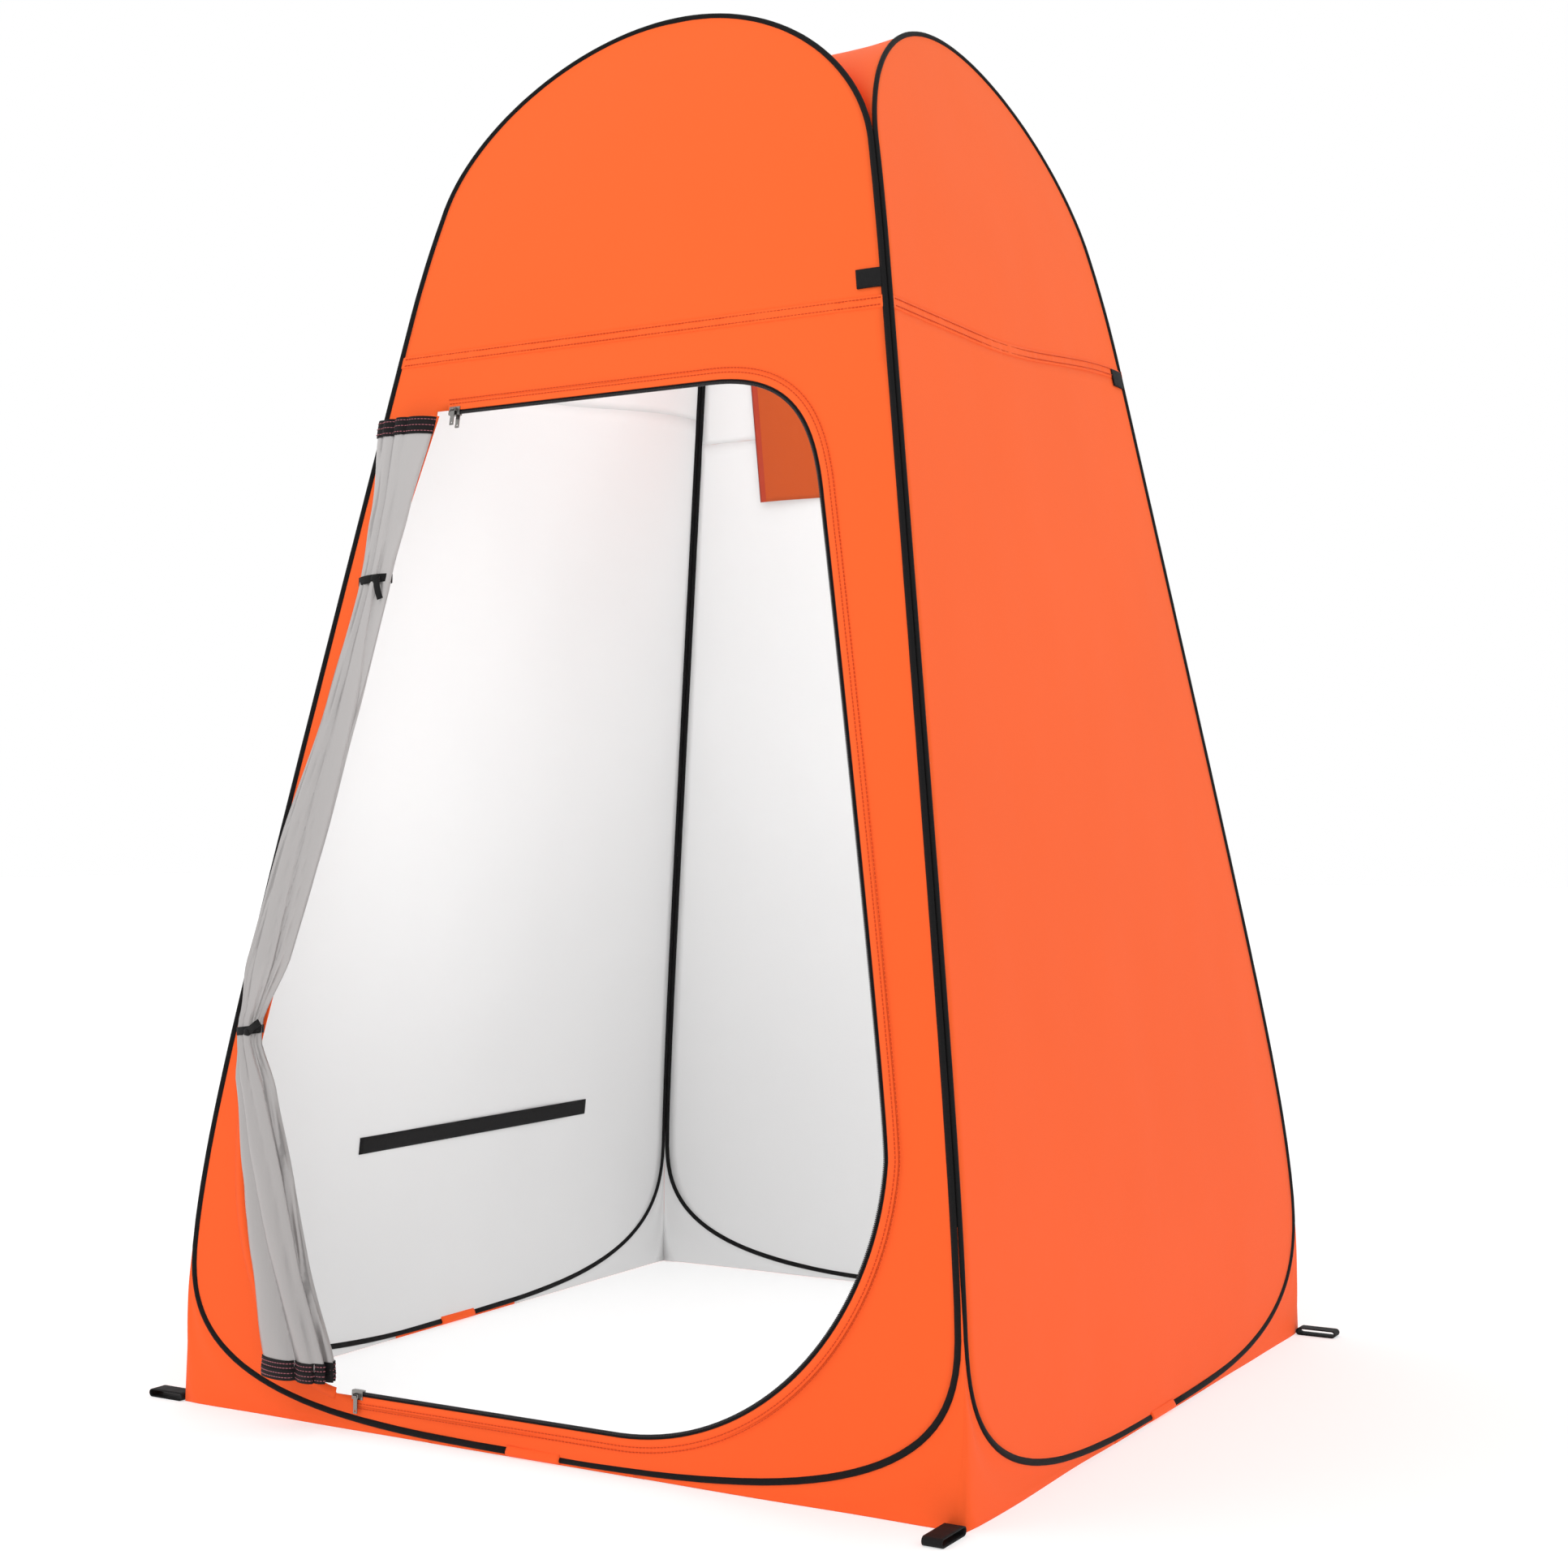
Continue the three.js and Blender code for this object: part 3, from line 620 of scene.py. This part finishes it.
# spring steel, oil blackened; the ferrules are bright zinc
def metal(name, colour, roughness, grain):
    made, shader = surface(name, colour, roughness, Metallic=1.0)
    spot = add(made, "ShaderNodeTexCoord", {})
    scuff = add(made, "ShaderNodeTexNoise", {"Scale": grain, "Detail": 4.0}, Vector=(spot, "Object"))
    gloss = add(made, "ShaderNodeMapRange", {"To Min": roughness * 0.7, "To Max": roughness * 1.4},
                Value=(scuff, "Fac"))
    wire(made, gloss, "Result", shader, "Roughness")
    dent = add(made, "ShaderNodeBump", {"Strength": 0.1, "Distance": 0.0002}, Height=(scuff, "Fac"))
    wire(made, dent, "Normal", shader, "Normal")
    return made


spring_steel = metal("oiled_spring_steel", "#6d7075", 0.38, 300.0)
zinc = metal("zinc_plated_steel", "#a6a8ab", 0.30, 500.0)
SLEEVE_R, WIRE_R, PATCH_R = 0.0034, 0.0017, 0.0052
for side, name in enumerate(SIDES):
    sleeve = piece(f"hoop_sleeve_{name}", tube_round_hoop(side, hoop_line(0.040), SLEEVE_R), f"{name}_wall",
                   "sleeve_tape", [black_binding], f"sleeve_{name}")
    patch_line = [(-0.0405 + 0.081 * i / 16, 0.0065) for i in range(17)]
    patch = tube_round_hoop(side, [(-x, z) for x, z in reversed(patch_line)], PATCH_R)
    cover = piece(f"joint_patch_{name}", patch, f"{name}_wall", "orange_cloth", [orange_taffeta],
                  f"joint_cover_{name}")
    wire_mesh = tube_round_hoop(side, hoop_line(0.008), WIRE_R, 8)
    piece(f"hoop_wire_{name}", wire_mesh, f"{name}_wall", "spring_steel", [spring_steel], f"hoop_{name}")

    # a strip of the wall cloth shows under the middle of the sleeve, down to the ground
    def foot_hem_place(column, row, side=side):
        spot = on_wall(side, 0.165 * (column / 12 - 1), 0.0008 + 0.0057 * row / 3, CLOTH / 2)
        return spot, (column / 72, row * 0.002)

    hem = piece(f"foot_hem_{name}", sheet_mesh(24, 3, foot_hem_place), f"{name}_wall", "orange_cloth",
                [orange_taffeta])
    thicken(hem, 0.0009, -1.0, 0)
    frame["nodes"][f"ferrule_{name}"].data.materials.clear()
    frame["nodes"][f"ferrule_{name}"].data.materials.append(zinc)


# ---- gussets -------------------------------------------------------------------------------------
# The hoops have rounded feet, so a gore of the same cloth fills each ground corner between two of them,
# down to the ground. Three are one piece across their corner; the fourth is cut open along its corner, each
# half riding on its own wall.
GUSSET_TOP = 0.335
gusset_levels = rows_from([0.001, 0.013], 0.002) + rows_from([0.013, GUSSET_TOP], 0.012)[1:]


def wing_edge(z):
    """Where a gusset leaves the hoop's sleeve at height z."""
    return max(0.150, hoop_half(z) + 0.0015)


def gusset(first, wings):
    """A gusset between wall `first` and the next one; wings are -1 for the first wall, 1 for the next."""
    across = 15

    def place(column, row):
        z = gusset_levels[row]
        # the point of the gore sinks into the valley between the two sleeves
        sunk = 0.0022 * min(1.0, max(0.0, (z - 0.16) / 0.12))
        corner = wall(z) + CLOTH / 2 - sunk
        width = corner - wing_edge(z)
        part = column / across - 1 if -1 in wings else column / across
        reach = abs(part)
        slack = min(0.004, 0.1 * width) * math.sin(math.pi * reach)
        slack *= noise.noise(Vector((part * 2.0, z * 9, first * 4.0)))
        soft = min(0.003, 0.05 * width) * max(0.0, 1 - reach / 0.12) ** 2
        along = corner - width * reach - soft
        side = first if part <= 0 else (first + 1) % 4
        x = along if part <= 0 else -along
        return on_wall(side, x, z, slack - soft - sunk * (1 - reach) + CLOTH / 2), (part, z)

    return sheet_mesh(across * len(wings), len(gusset_levels) - 1, place)


# A gusset is mostly cut away round the hoop's foot. Its cloth is really 0.039 square metres, or 0.020 for
# a half; the sheets below are stated at 0.054 and 0.027, on a cut smaller than the gusset's full spread.
CORNERS = ["front_right", "back_right", "back_left", "front_left"]
for number, corner in enumerate(CORNERS):
    if corner == "back_left":
        for wing, node, body in ((-1, "gusset_back_left_rear", "back_wall"),
                                 (1, "gusset_back_left_side", "left_wall")):
            mesh = gusset(2, (wing,))
            area = cut_area(mesh)
            half = piece(f"{node}_cloth", mesh, body, "orange_cloth", [orange_taffeta, silver_lining], node)
            thicken(half, CLOTH)
        continue
    mesh = gusset(number, (-1, 1))
    area = cut_area(mesh)
    cloth = piece(f"gusset_{corner}_cloth", mesh, None, "orange_cloth", [orange_taffeta, silver_lining],
                  f"gusset_{corner}")
    thicken(cloth, CLOTH)
    here = [turned(number, 0.575, -0.595, 0.1), turned(number, 0.595, -0.575, 0.1)]
    if corner == "front_left":
        here.reverse()
    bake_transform(cloth)


# ---- roof ----------------------------------------------------------------------------------------
# Four gores of the same cloth fall from the middle of the roof to the four arches. Each rides on its own
# wall.
ROOF_TOP = 1.880


def roof_gore(side):
    def place(column, row):
        turn = math.pi / 2 * (1 - abs(column - 32) / 32)
        z = 1.650 + 0.2425 * math.sin(turn)
        half = math.copysign(1, column - 32) * (0.0 if column == 32 else hoop_half(z))
        s = row / 26
        run = wall(z) - 0.0015
        slack = 0.004 * math.sin(math.pi * s) * noise.noise(Vector((half * 6, s * 3, side * 5.0)))
        height = ROOF_TOP + (z - ROOF_TOP) * s**2.2 + slack
        return turned(side, half * s, -run * s, height), (half, s * 0.33)

    made = sheet_mesh(64, 26, place)
    bmesh.ops.remove_doubles(made, verts=made.verts, dist=0.00002)
    bmesh.ops.recalc_face_normals(made, faces=made.faces)
    if max(made.faces, key=lambda f: f.calc_area()).normal.z < 0:
        bmesh.ops.reverse_faces(made, faces=made.faces)
    return made


for side, name in enumerate(SIDES):
    mesh = roof_gore(side)
    area = cut_area(mesh)
    gore = piece(f"roof_cloth_{name}", mesh, f"{name}_wall", "orange_cloth",
                 [orange_taffeta, silver_lining], f"roof_gore_{name}")
    thicken(gore, CLOTH)
    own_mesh(gore)


# ---- door zip ------------------------------------------------------------------------------------
# A coil zip with black tape runs up the free side of the doorway, across its head and along its foot.
# The wall cloth is rolled over the tape and sewn down; on the tied side the cloth is simply hemmed.
def ribbon(line, profile, side=0):
    """A strip along a line on the wall; profile holds (distance outwards along the wall, height off it)."""
    run = [0.0]
    for (x0, z0), (x1, z1) in zip(line, line[1:]):
        run.append(run[-1] + math.hypot(x1 - x0, z1 - z0))

    def place(column, row):
        x, z = line[row]
        nx, nz = outward(line, row)
        away, lift = profile[column]
        px, pz = x + nx * away, z + nz * away
        return on_wall(side, px, pz, lift), (away, run[row])

    made = sheet_mesh(len(profile) - 1, len(line) - 1, place)
    bmesh.ops.recalc_face_normals(made, faces=made.faces)
    return made


zip_black = binding("black_zip_tape", "#0d0b0c", 0.75)
tape_profile = [(0.0006, 0), (0.004, 0.0001), (0.008, 0), (0.0148, -0.0002)]
tape = piece("zip_tape_strip", ribbon(door_line, tape_profile),
             "front_wall", "zip_tape", [zip_black], "zip_tape")
thicken(tape, 0.0008, 0.0, 0)
hem_profile = [(0.0, 0.0), (0.0004, 0.0008), (0.007, 0.0012), (0.0148, 0.0008)]
hem = piece("door_side_hem", ribbon(hem_line, hem_profile),
            "front_wall", "orange_cloth", [orange_taffeta], "door_hem")
thicken(hem, 0.001, 0.0, 0)
# the wall cloth rolled over the tape: a soft double fold beside it
fold = [(ZIP_SHOWS - 0.0006, 0.0006), (ZIP_SHOWS - 0.0010, 0.0012), (ZIP_SHOWS, 0.0019),
        (ZIP_SHOWS + 0.005, 0.0021), (ZIP_SHOWS + 0.010, 0.0018), (ZIP_SHOWS + 0.012, 0.0008)]
piece("door_rolled_edge", ribbon(door_line, fold), "front_wall", "orange_cloth", [orange_taffeta])
coil = bmesh.new()
run = [on_wall(0, x + outward(door_line, k)[0] * 0.0016, z + outward(door_line, k)[1] * 0.0016, 0.0008)
       for k, (x, z) in enumerate(door_line)]
stitch_row(coil, run, [Vector((0, -1, 0.1)).normalized()] * len(run), 0.0024, 0.0013, 0.0030)
nylon_coil, shader = surface("nylon_zip_coil", "#19171a", 0.35)
spot = add(nylon_coil, "ShaderNodeTexCoord", {})
grain = add(nylon_coil, "ShaderNodeTexNoise", {"Scale": 700.0}, Vector=(spot, "Object"))
rough = add(nylon_coil, "ShaderNodeMapRange", {"To Min": 0.28, "To Max": 0.5}, Value=(grain, "Fac"))
wire(nylon_coil, rough, "Result", shader, "Roughness")
piece("zip_coil", coil, "front_wall", "zip_tape", [nylon_coil])
thread = bmesh.new()
for away in (ZIP_SHOWS + 0.0085, ZIP_SHOWS + 0.0145):
    line = [on_wall(0, x + outward(door_line, k)[0] * away, z + outward(door_line, k)[1] * away, 0.0022)
            for k, (x, z) in enumerate(door_line)]
    stitch_row(thread, line, [Vector((0, -1, 0.1)).normalized()] * len(line))
piece("door_edge_thread", thread, "front_wall", "orange_cloth", [orange_thread])


# ---- door ----------------------------------------------------------------------------------------
# The door is one cloth of the same taffeta, unzipped, rolled up loosely along its sewn edge with the
# silver side out, and gathered by two ties. Its head and foot edges carry black tape with pink stitching.
ROLL = [  # height, middle x and half width of the roll, narrowest under the two ties
    (0.062, -0.362, 0.056), (0.092, -0.362, 0.056), (0.215, -0.404, 0.046), (0.320, -0.434, 0.041),
    (0.436, -0.474, 0.032), (0.496, -0.500, 0.019), (0.524, -0.501, 0.019), (0.610, -0.476, 0.035),
    (0.763, -0.442, 0.037), (0.940, -0.402, 0.029), (1.112, -0.371, 0.025), (1.140, -0.368, 0.025),
    (1.220, -0.356, 0.031), (1.350, -0.340, 0.045)]
TIES = (0.510, 1.126)
WRAPS = 6


def roll_at(z):
    """Middle x and half width of the roll at height z."""
    k = 0
    while k < len(ROLL) - 2 and z > ROLL[k + 1][0]:
        k += 1
    (z0, x0, h0), (z1, x1, h1) = ROLL[k], ROLL[k + 1]
    t = min(1.0, max(0.0, (z - z0) / (z1 - z0)))
    smooth = t * t * (3 - 2 * t)
    return x0 + (x1 - x0) * t, h0 + (h1 - h0) * smooth


def crease(turn, z):
    """How far the folds pull the cloth in at this angle: broad lobes with sharp creases between them."""
    near = math.exp(-(min(abs(z - t) for t in TIES) / 0.07) ** 2)
    lean = turn + 1.1 * z + 0.55 * math.sin(turn + 2.1 * z) + 0.30 * math.sin(2 * turn - 3.0 * z + 1)
    broad = (1 - abs(math.sin(1.5 * lean))) ** 3
    sharp = (1 - abs(math.sin(3.5 * lean + 0.7 + 1.5 * z))) ** 2
    return 0.48 * broad + (0.22 + 0.20 * near) * sharp + 0.05 * noise.noise(Vector((lean, z * 6, 0)))


def roll_point(turn, z, grow=0.0):
    """A point on the roll: turn counts round it from the sewn edge at the core to the free outer edge."""
    x, half = roll_at(z)
    deep = 0.008 + 0.28 * half
    share = turn / (2 * math.pi * WRAPS)
    inner = 0.40 + 0.60 * share
    pull = (1.10 - crease(turn % (2 * math.pi), z)) * inner
    y = -(wall(z) + CLOTH / 2 + 0.003 + deep)
    return Vector((x + math.cos(turn) * (half * pull + grow), y + math.sin(turn) * (deep * pull + grow), z))


def roll_cloth(first, last, low, high, columns, rows, grow=0.0):
    def place(column, row):
        turn = first + (last - first) * column / columns
        z = low + (high - low) * row / rows
        return roll_point(turn, z, grow), (turn * 0.02, z)

    made = sheet_mesh(columns, rows, place)
    return made


# painted shade: the door's silver side is the walls' aluminised coat, coloured darker than the lining for
# the shade in its folds
shaded_silver_door = woven("shaded_aluminised_door_coat", "#a9a5a4", "#c6c3c2", 0.33, 0.16, Metallic=0.6,
                    Specular_IOR_Level=0.4)
mesh = roll_cloth(0.0, 2 * math.pi * WRAPS, 0.080, 1.338, 56 * WRAPS, 110)
door = piece("door_cloth", mesh, "front_wall", "silver_coating", [shaded_silver_door, orange_taffeta], "door_roll")
thicken(door, 0.0006)
hems = []
hem_black = binding("black_hem_tape", "#120e10", 0.7)
for name, node, bands in (
    ("door_head_tape", "door_head_hem", [(1.326, 1.350, 0.0011)]),
    ("door_foot_tape", "door_foot_hem", [(0.078, 0.0915, 0.0011), (0.066, 0.0795, 0.0019)]),
):
    tape_mesh = bmesh.new()
    thread_mesh = bmesh.new()
    for low, high, grow in bands:
        part = roll_cloth(2 * math.pi * (WRAPS - 1.02), 2 * math.pi * WRAPS, low, high, 90, 6, grow)
        spare = bpy.data.meshes.new("spare")
        part.to_mesh(spare)
        part.free()
        tape_mesh.from_mesh(spare)
        bpy.data.meshes.remove(spare)
        for height in (low + 0.004, (low + high) / 2, high - 0.004)[:: 1 if high - low > 0.02 else 2]:
            turns = [2 * math.pi * (WRAPS - 1.0 + i / 90) for i in range(91)]
            line = [roll_point(t, height, grow + 0.0006) for t in turns]
            outs = [Vector((math.cos(t), math.sin(t), 0)) for t in turns]
            stitch_row(thread_mesh, line, outs, 0.0046, 0.0032, 0.0009)
    tape = piece(name, tape_mesh, "front_wall", "zip_tape", [hem_black], node)
    thicken(tape, 0.0009, 0.0, 0)
    pink_thread, shader = surface(f"pink_polyester_thread_{name}", "#a4606a", 0.7)
    spot = add(pink_thread, "ShaderNodeTexCoord", {})
    twist = add(pink_thread, "ShaderNodeTexNoise", {"Scale": 900.0}, Vector=(spot, "Object"))
    ply = add(pink_thread, "ShaderNodeBump", {"Strength": 0.4, "Distance": 0.0003}, Height=(twist, "Fac"))
    wire(pink_thread, ply, "Normal", shader, "Normal")
    hems += [tape, piece(f"{name}_thread", thread_mesh, "front_wall", "zip_tape", [pink_thread])]


# ---- door ties -----------------------------------------------------------------------------------
# Two short black tapes sewn to the wall, each passed round the roll and tied in front with its end hanging.
def strip(points, outs, wide, thick, steps_up=3):
    """A flat tape through the points, its face turned to `outs`."""
    def place(column, row):
        here, out = points[row], outs[row]
        run = (points[min(len(points) - 1, row + 1)] - points[max(0, row - 1)]).normalized()
        up = run.cross(out).normalized()
        share = column / steps_up - 0.5
        return here + up * (share * wide), (share * wide, row * 0.004)

    return sheet_mesh(steps_up, len(points) - 1, place)


webbing = binding("black_polypropylene_webbing", "#0f0e0f", 0.72)
for name, z, lean in (("tie_upper", TIES[1], 0.15), ("tie_lower", TIES[0], -0.6)):
    x, half = roll_at(z)
    deep = 0.008 + 0.28 * half
    y = -(wall(z) + CLOTH / 2 + 0.003 + deep)
    turns = [2 * math.pi * i / 48 for i in range(49)]
    band = strip([Vector((x + math.cos(t) * (half + 0.001), y + math.sin(t) * (deep + 0.001),
                          z + 0.0025 * math.cos(t))) for t in turns],
                 [Vector((math.cos(t), math.sin(t), 0)) for t in turns], 0.011, 0.001)
    around = piece(f"{name}_band", band, "front_wall", "webbing", [webbing], name)
    thicken(around, 0.0012, 0.0, 0)
    front = y - deep - 0.003
    knot = bmesh.new()
    bmesh.ops.create_uvsphere(knot, u_segments=16, v_segments=10, radius=1,
                              matrix=Matrix.Translation((x + half * 0.55, front + 0.0015, z))
                              @ Matrix.Rotation(lean, 4, "Y") @ Matrix.Diagonal((0.008, 0.0045, 0.0058, 1)))
    for corner in knot.verts:
        corner.co += Vector((1, 0.4, 1)) * (0.0012 * noise.noise(corner.co * 320))
    piece(f"{name}_knot", knot, "front_wall", "webbing", [webbing])
    drop = 0.030 if name == "tie_upper" else 0.026
    way = Vector((0.30, -0.10, -1)) if name == "tie_upper" else Vector((0.85, -0.15, 0.55))
    start = Vector((x + half * 0.55 + 0.004, front - 0.001, z))
    tail = [start + way.normalized() * (drop * i / 10) + Vector((0, -0.002 * math.sin(i / 3), 0))
            for i in range(11)]
    end = piece(f"{name}_end", strip(tail, [Vector((0.2, -1, 0)).normalized()] * 11, 0.009, 0.001),
                "front_wall", "webbing", [webbing])
    thicken(end, 0.0011, 0.0, 0)


# ---- zip sliders and pulls -----------------------------------------------------------------------
# Die-cast zinc sliders, nickel plated, with a stamped pull on each face so that the door works from
# inside and outside.
nickel = metal("nickel_plated_zinc", "#8d8b88", 0.28, 900.0)
for name, node in frame["nodes"].items():
    if name.startswith("zip_slider") or name.startswith("zip_pull"):
        node.data.materials.clear()
        node.data.materials.append(nickel)


# ---- window --------------------------------------------------------------------------------------
# High in the back wall a trapezium of black mesh lets steam out, and a curtain of the same orange cloth
# hangs inside it from a sewn rail, with its side edges hemmed in two rows of dark thread.
window_net, shader = surface("black_polyester_net", "#1a1a1c", 0.8, Alpha=0.55)
spot = add(window_net, "ShaderNodeTexCoord", {})
# cells are 1.2 mm; drawn 2.4 mm so that they show
cells = add(window_net, "ShaderNodeTexVoronoi", {"Scale": 1 / 0.0024}, Vector=(spot, "UV"))
knots = add(window_net, "ShaderNodeBump", {"Strength": 0.6, "Distance": 0.0008}, Height=(cells, "Distance"))
wire(window_net, knots, "Normal", shader, "Normal")


def net_place(column, row):
    z = 1.4705 + 0.179 * row / 18
    half = 0.2095 - 0.020 * row / 18
    x = half * (2 * column / 36 - 1)
    return on_wall(2, x, z, 0.0012 * noise.noise(Vector((x * 9, z * 9, 2)))), (x, z)


net = piece("window_net", sheet_mesh(36, 18, net_place), "back_wall", "mesh", [window_net], "window_mesh")
thicken(net, 0.0005, 0.0, 0)
window_frame = [(-0.210, 1.470), (0.210, 1.470), (0.190, 1.650), (-0.190, 1.650), (-0.210, 1.470)]
tape_line = []
for (x0, z0), (x1, z1) in zip(window_frame, window_frame[1:]):
    tape_line += [(x0 + (x1 - x0) * i / 12, z0 + (z1 - z0) * i / 12) for i in range(12)]
tape_line.append(window_frame[0])
piece("window_binding", ribbon(tape_line, [(-0.004, 0.0016), (-0.003, 0.0022), (0.003, 0.0024),
                                           (0.009, 0.0020), (0.010, 0.0008)], 2),
      "back_wall", "orange_cloth", [orange_taffeta])

# painted shade: the curtain, its hems and its rail are the walls' orange cloth, coloured a deeper orange
# for where they hang in shade inside the tent
curtain_cloth = woven("shaded_orange_curtain_taffeta", "#bb460e", "#c65012", 0.42, 0.35, Specular_IOR_Level=0.4)
shaded_hem_cloth, shader = surface("shaded_doubled_orange_hem", "#b5381a", 0.55)
spot = add(shaded_hem_cloth, "ShaderNodeTexCoord", {})
press = add(shaded_hem_cloth, "ShaderNodeTexNoise", {"Scale": 60.0, "Detail": 3.0}, Vector=(spot, "Object"))
dips = add(shaded_hem_cloth, "ShaderNodeBump", {"Strength": 0.4, "Distance": 0.001}, Height=(press, "Fac"))
wire(shaded_hem_cloth, dips, "Normal", shader, "Normal")


def curtain_out(x, z):
    """How far inside the wall the curtain hangs: flat at the rail, gently waved at its foot."""
    drop = (1.685 - z) / 0.35
    wave = 0.5 + 0.5 * math.sin(x * 31 + 1.5 * noise.noise(Vector((x * 5, z * 4, 1))))
    return -(CLOTH / 2 + 0.0032) - 0.0045 * drop * wave - 0.002 * drop


def curtain_place(column, row):
    z = 1.3355 + 0.3495 * row / 40
    x = 0.271 * (2 * column / 70 - 1)
    return on_wall(2, x, z, curtain_out(x, z)), (x, z)


curtain = piece("curtain_cloth", sheet_mesh(70, 40, curtain_place), "curtain", "curtain_cloth",
                [curtain_cloth], "window_curtain")
thicken(curtain, 0.0007, 0.0, 0)
for name, edge in (("left", 1), ("right", -1)):
    def hem_place(column, row, edge=edge):
        z = 1.3355 + 0.3495 * row / 40
        x = edge * (0.2715 - 0.012 * (column % 5) / 4)
        lift = (0.0008 if column < 5 else -0.0008) * (1 if 0 < column % 5 < 4 else 0.6)
        return on_wall(2, x, z, curtain_out(x, z) + lift), (x, z)

    strips = sheet_mesh(9, 40, hem_place)
    bmesh.ops.recalc_face_normals(strips, faces=strips.faces)
    piece(f"curtain_hem_{name}", strips, "curtain", "curtain_cloth", [shaded_hem_cloth])


def rail_place(column, row):
    z = 1.6855 + 0.0145 * row / 4
    x = 0.272 * (2 * column / 60 - 1)
    lift = -(CLOTH / 2 + 0.0014) - 0.0008 * math.sin(math.pi * row / 4)
    return on_wall(2, x, z, lift), (x, z)


rail = piece("curtain_rail_tape", sheet_mesh(60, 4, rail_place), "back_wall", "curtain_cloth",
             [shaded_hem_cloth], "curtain_rail")
thicken(rail, 0.0012, 0.0, 0)


# ---- webbing -------------------------------------------------------------------------------------
# 25 mm black polypropylene webbing: a strap sewn at both ends inside the left wall to hang things on,
# a guy tab on each seam, and a folded loop at each ground corner to take a stake.
def strap_place(column, row):
    along = -0.323 + 0.578 * column / 60
    z = 0.297 + 0.025 * row / 6
    sag = 0.0006 * math.sin(math.pi * column / 60)
    edge = 0.0003 if row in (0, 6) else 0.0
    return on_wall(3, along, z, -(CLOTH / 2 + 0.0011 + sag - edge)), (z, along)


strap = piece("wall_strap_webbing", sheet_mesh(60, 6, strap_place), "left_wall", "webbing", [webbing],
              "wall_strap")
thicken(strap, 0.0014, 0.0, 0)


def stadium_line(long, high, count):
    """Points (along, up) round a flat loop with round ends, closed."""
    radius = high / 2
    turns = [math.pi * i / count for i in range(count + 1)]
    line = [(long - radius + radius * math.sin(t), radius - radius * math.cos(t)) for t in turns]
    line += [(radius - radius * math.sin(t), radius + radius * math.cos(t)) for t in turns]
    return line + [line[0]]


for number, corner in enumerate(CORNERS):
    body = f"{SIDES[number]}_wall" if corner != "front_left" else "front_wall"
    low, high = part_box(f"stake_loop_{corner}")
    size = high - low
    lengthways = 1 if size.y > size.x else 0
    loop_line = stadium_line(max(size.x, size.y) - 0.0016, size.z - 0.0016, 8)
    wide = min(size.x, size.y)
    outward_way = 1 if (low + high)[lengthways] > 0 else -1

    def loop_place(column, row, low=low, high=high, way=outward_way, axis=lengthways, wide=wide):
        along, up = loop_line[row]
        across = (low + high)[1 - axis] / 2 + wide * (column / 6 - 0.5)
        reach = (low[axis] + 0.0008 + along) if way > 0 else (high[axis] - 0.0008 - along)
        spot = [0.0, 0.0, low.z + 0.0008 + up]
        spot[axis], spot[1 - axis] = reach, across
        return Vector(spot), (across, row * 0.004)

    loop = sheet_mesh(6, len(loop_line) - 1, loop_place)
    bmesh.ops.remove_doubles(loop, verts=loop.verts, dist=0.00002)
    bmesh.ops.recalc_face_normals(loop, faces=loop.faces)
    owner = frame["nodes"][f"stake_loop_{corner}"]["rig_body"]
    webbed = piece(f"stake_loop_{corner}_webbing", loop, owner, "webbing", [webbing],
                   f"stake_loop_{corner}")
    thicken(webbed, 0.0015, 0.0, 0)

    def tab_place(column, row, number=number):
        z = 1.459 + 0.025 * row / 6
        edge = wall(z) - 0.0068
        x = edge - 0.036 * (1 - column / 14)
        lift = CLOTH / 2 + 0.0014 + 0.0006 * math.sin(math.pi * column / 14)
        return on_wall(number, x, z, lift), (z, x)

    tab = piece(f"guy_tab_{corner}_webbing", sheet_mesh(14, 6, tab_place),
                frame["nodes"][f"guy_tab_{corner}"]["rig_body"], "webbing", [webbing], f"guy_tab_{corner}")
    thicken(tab, 0.0022, 0.0, 0)

low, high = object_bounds()
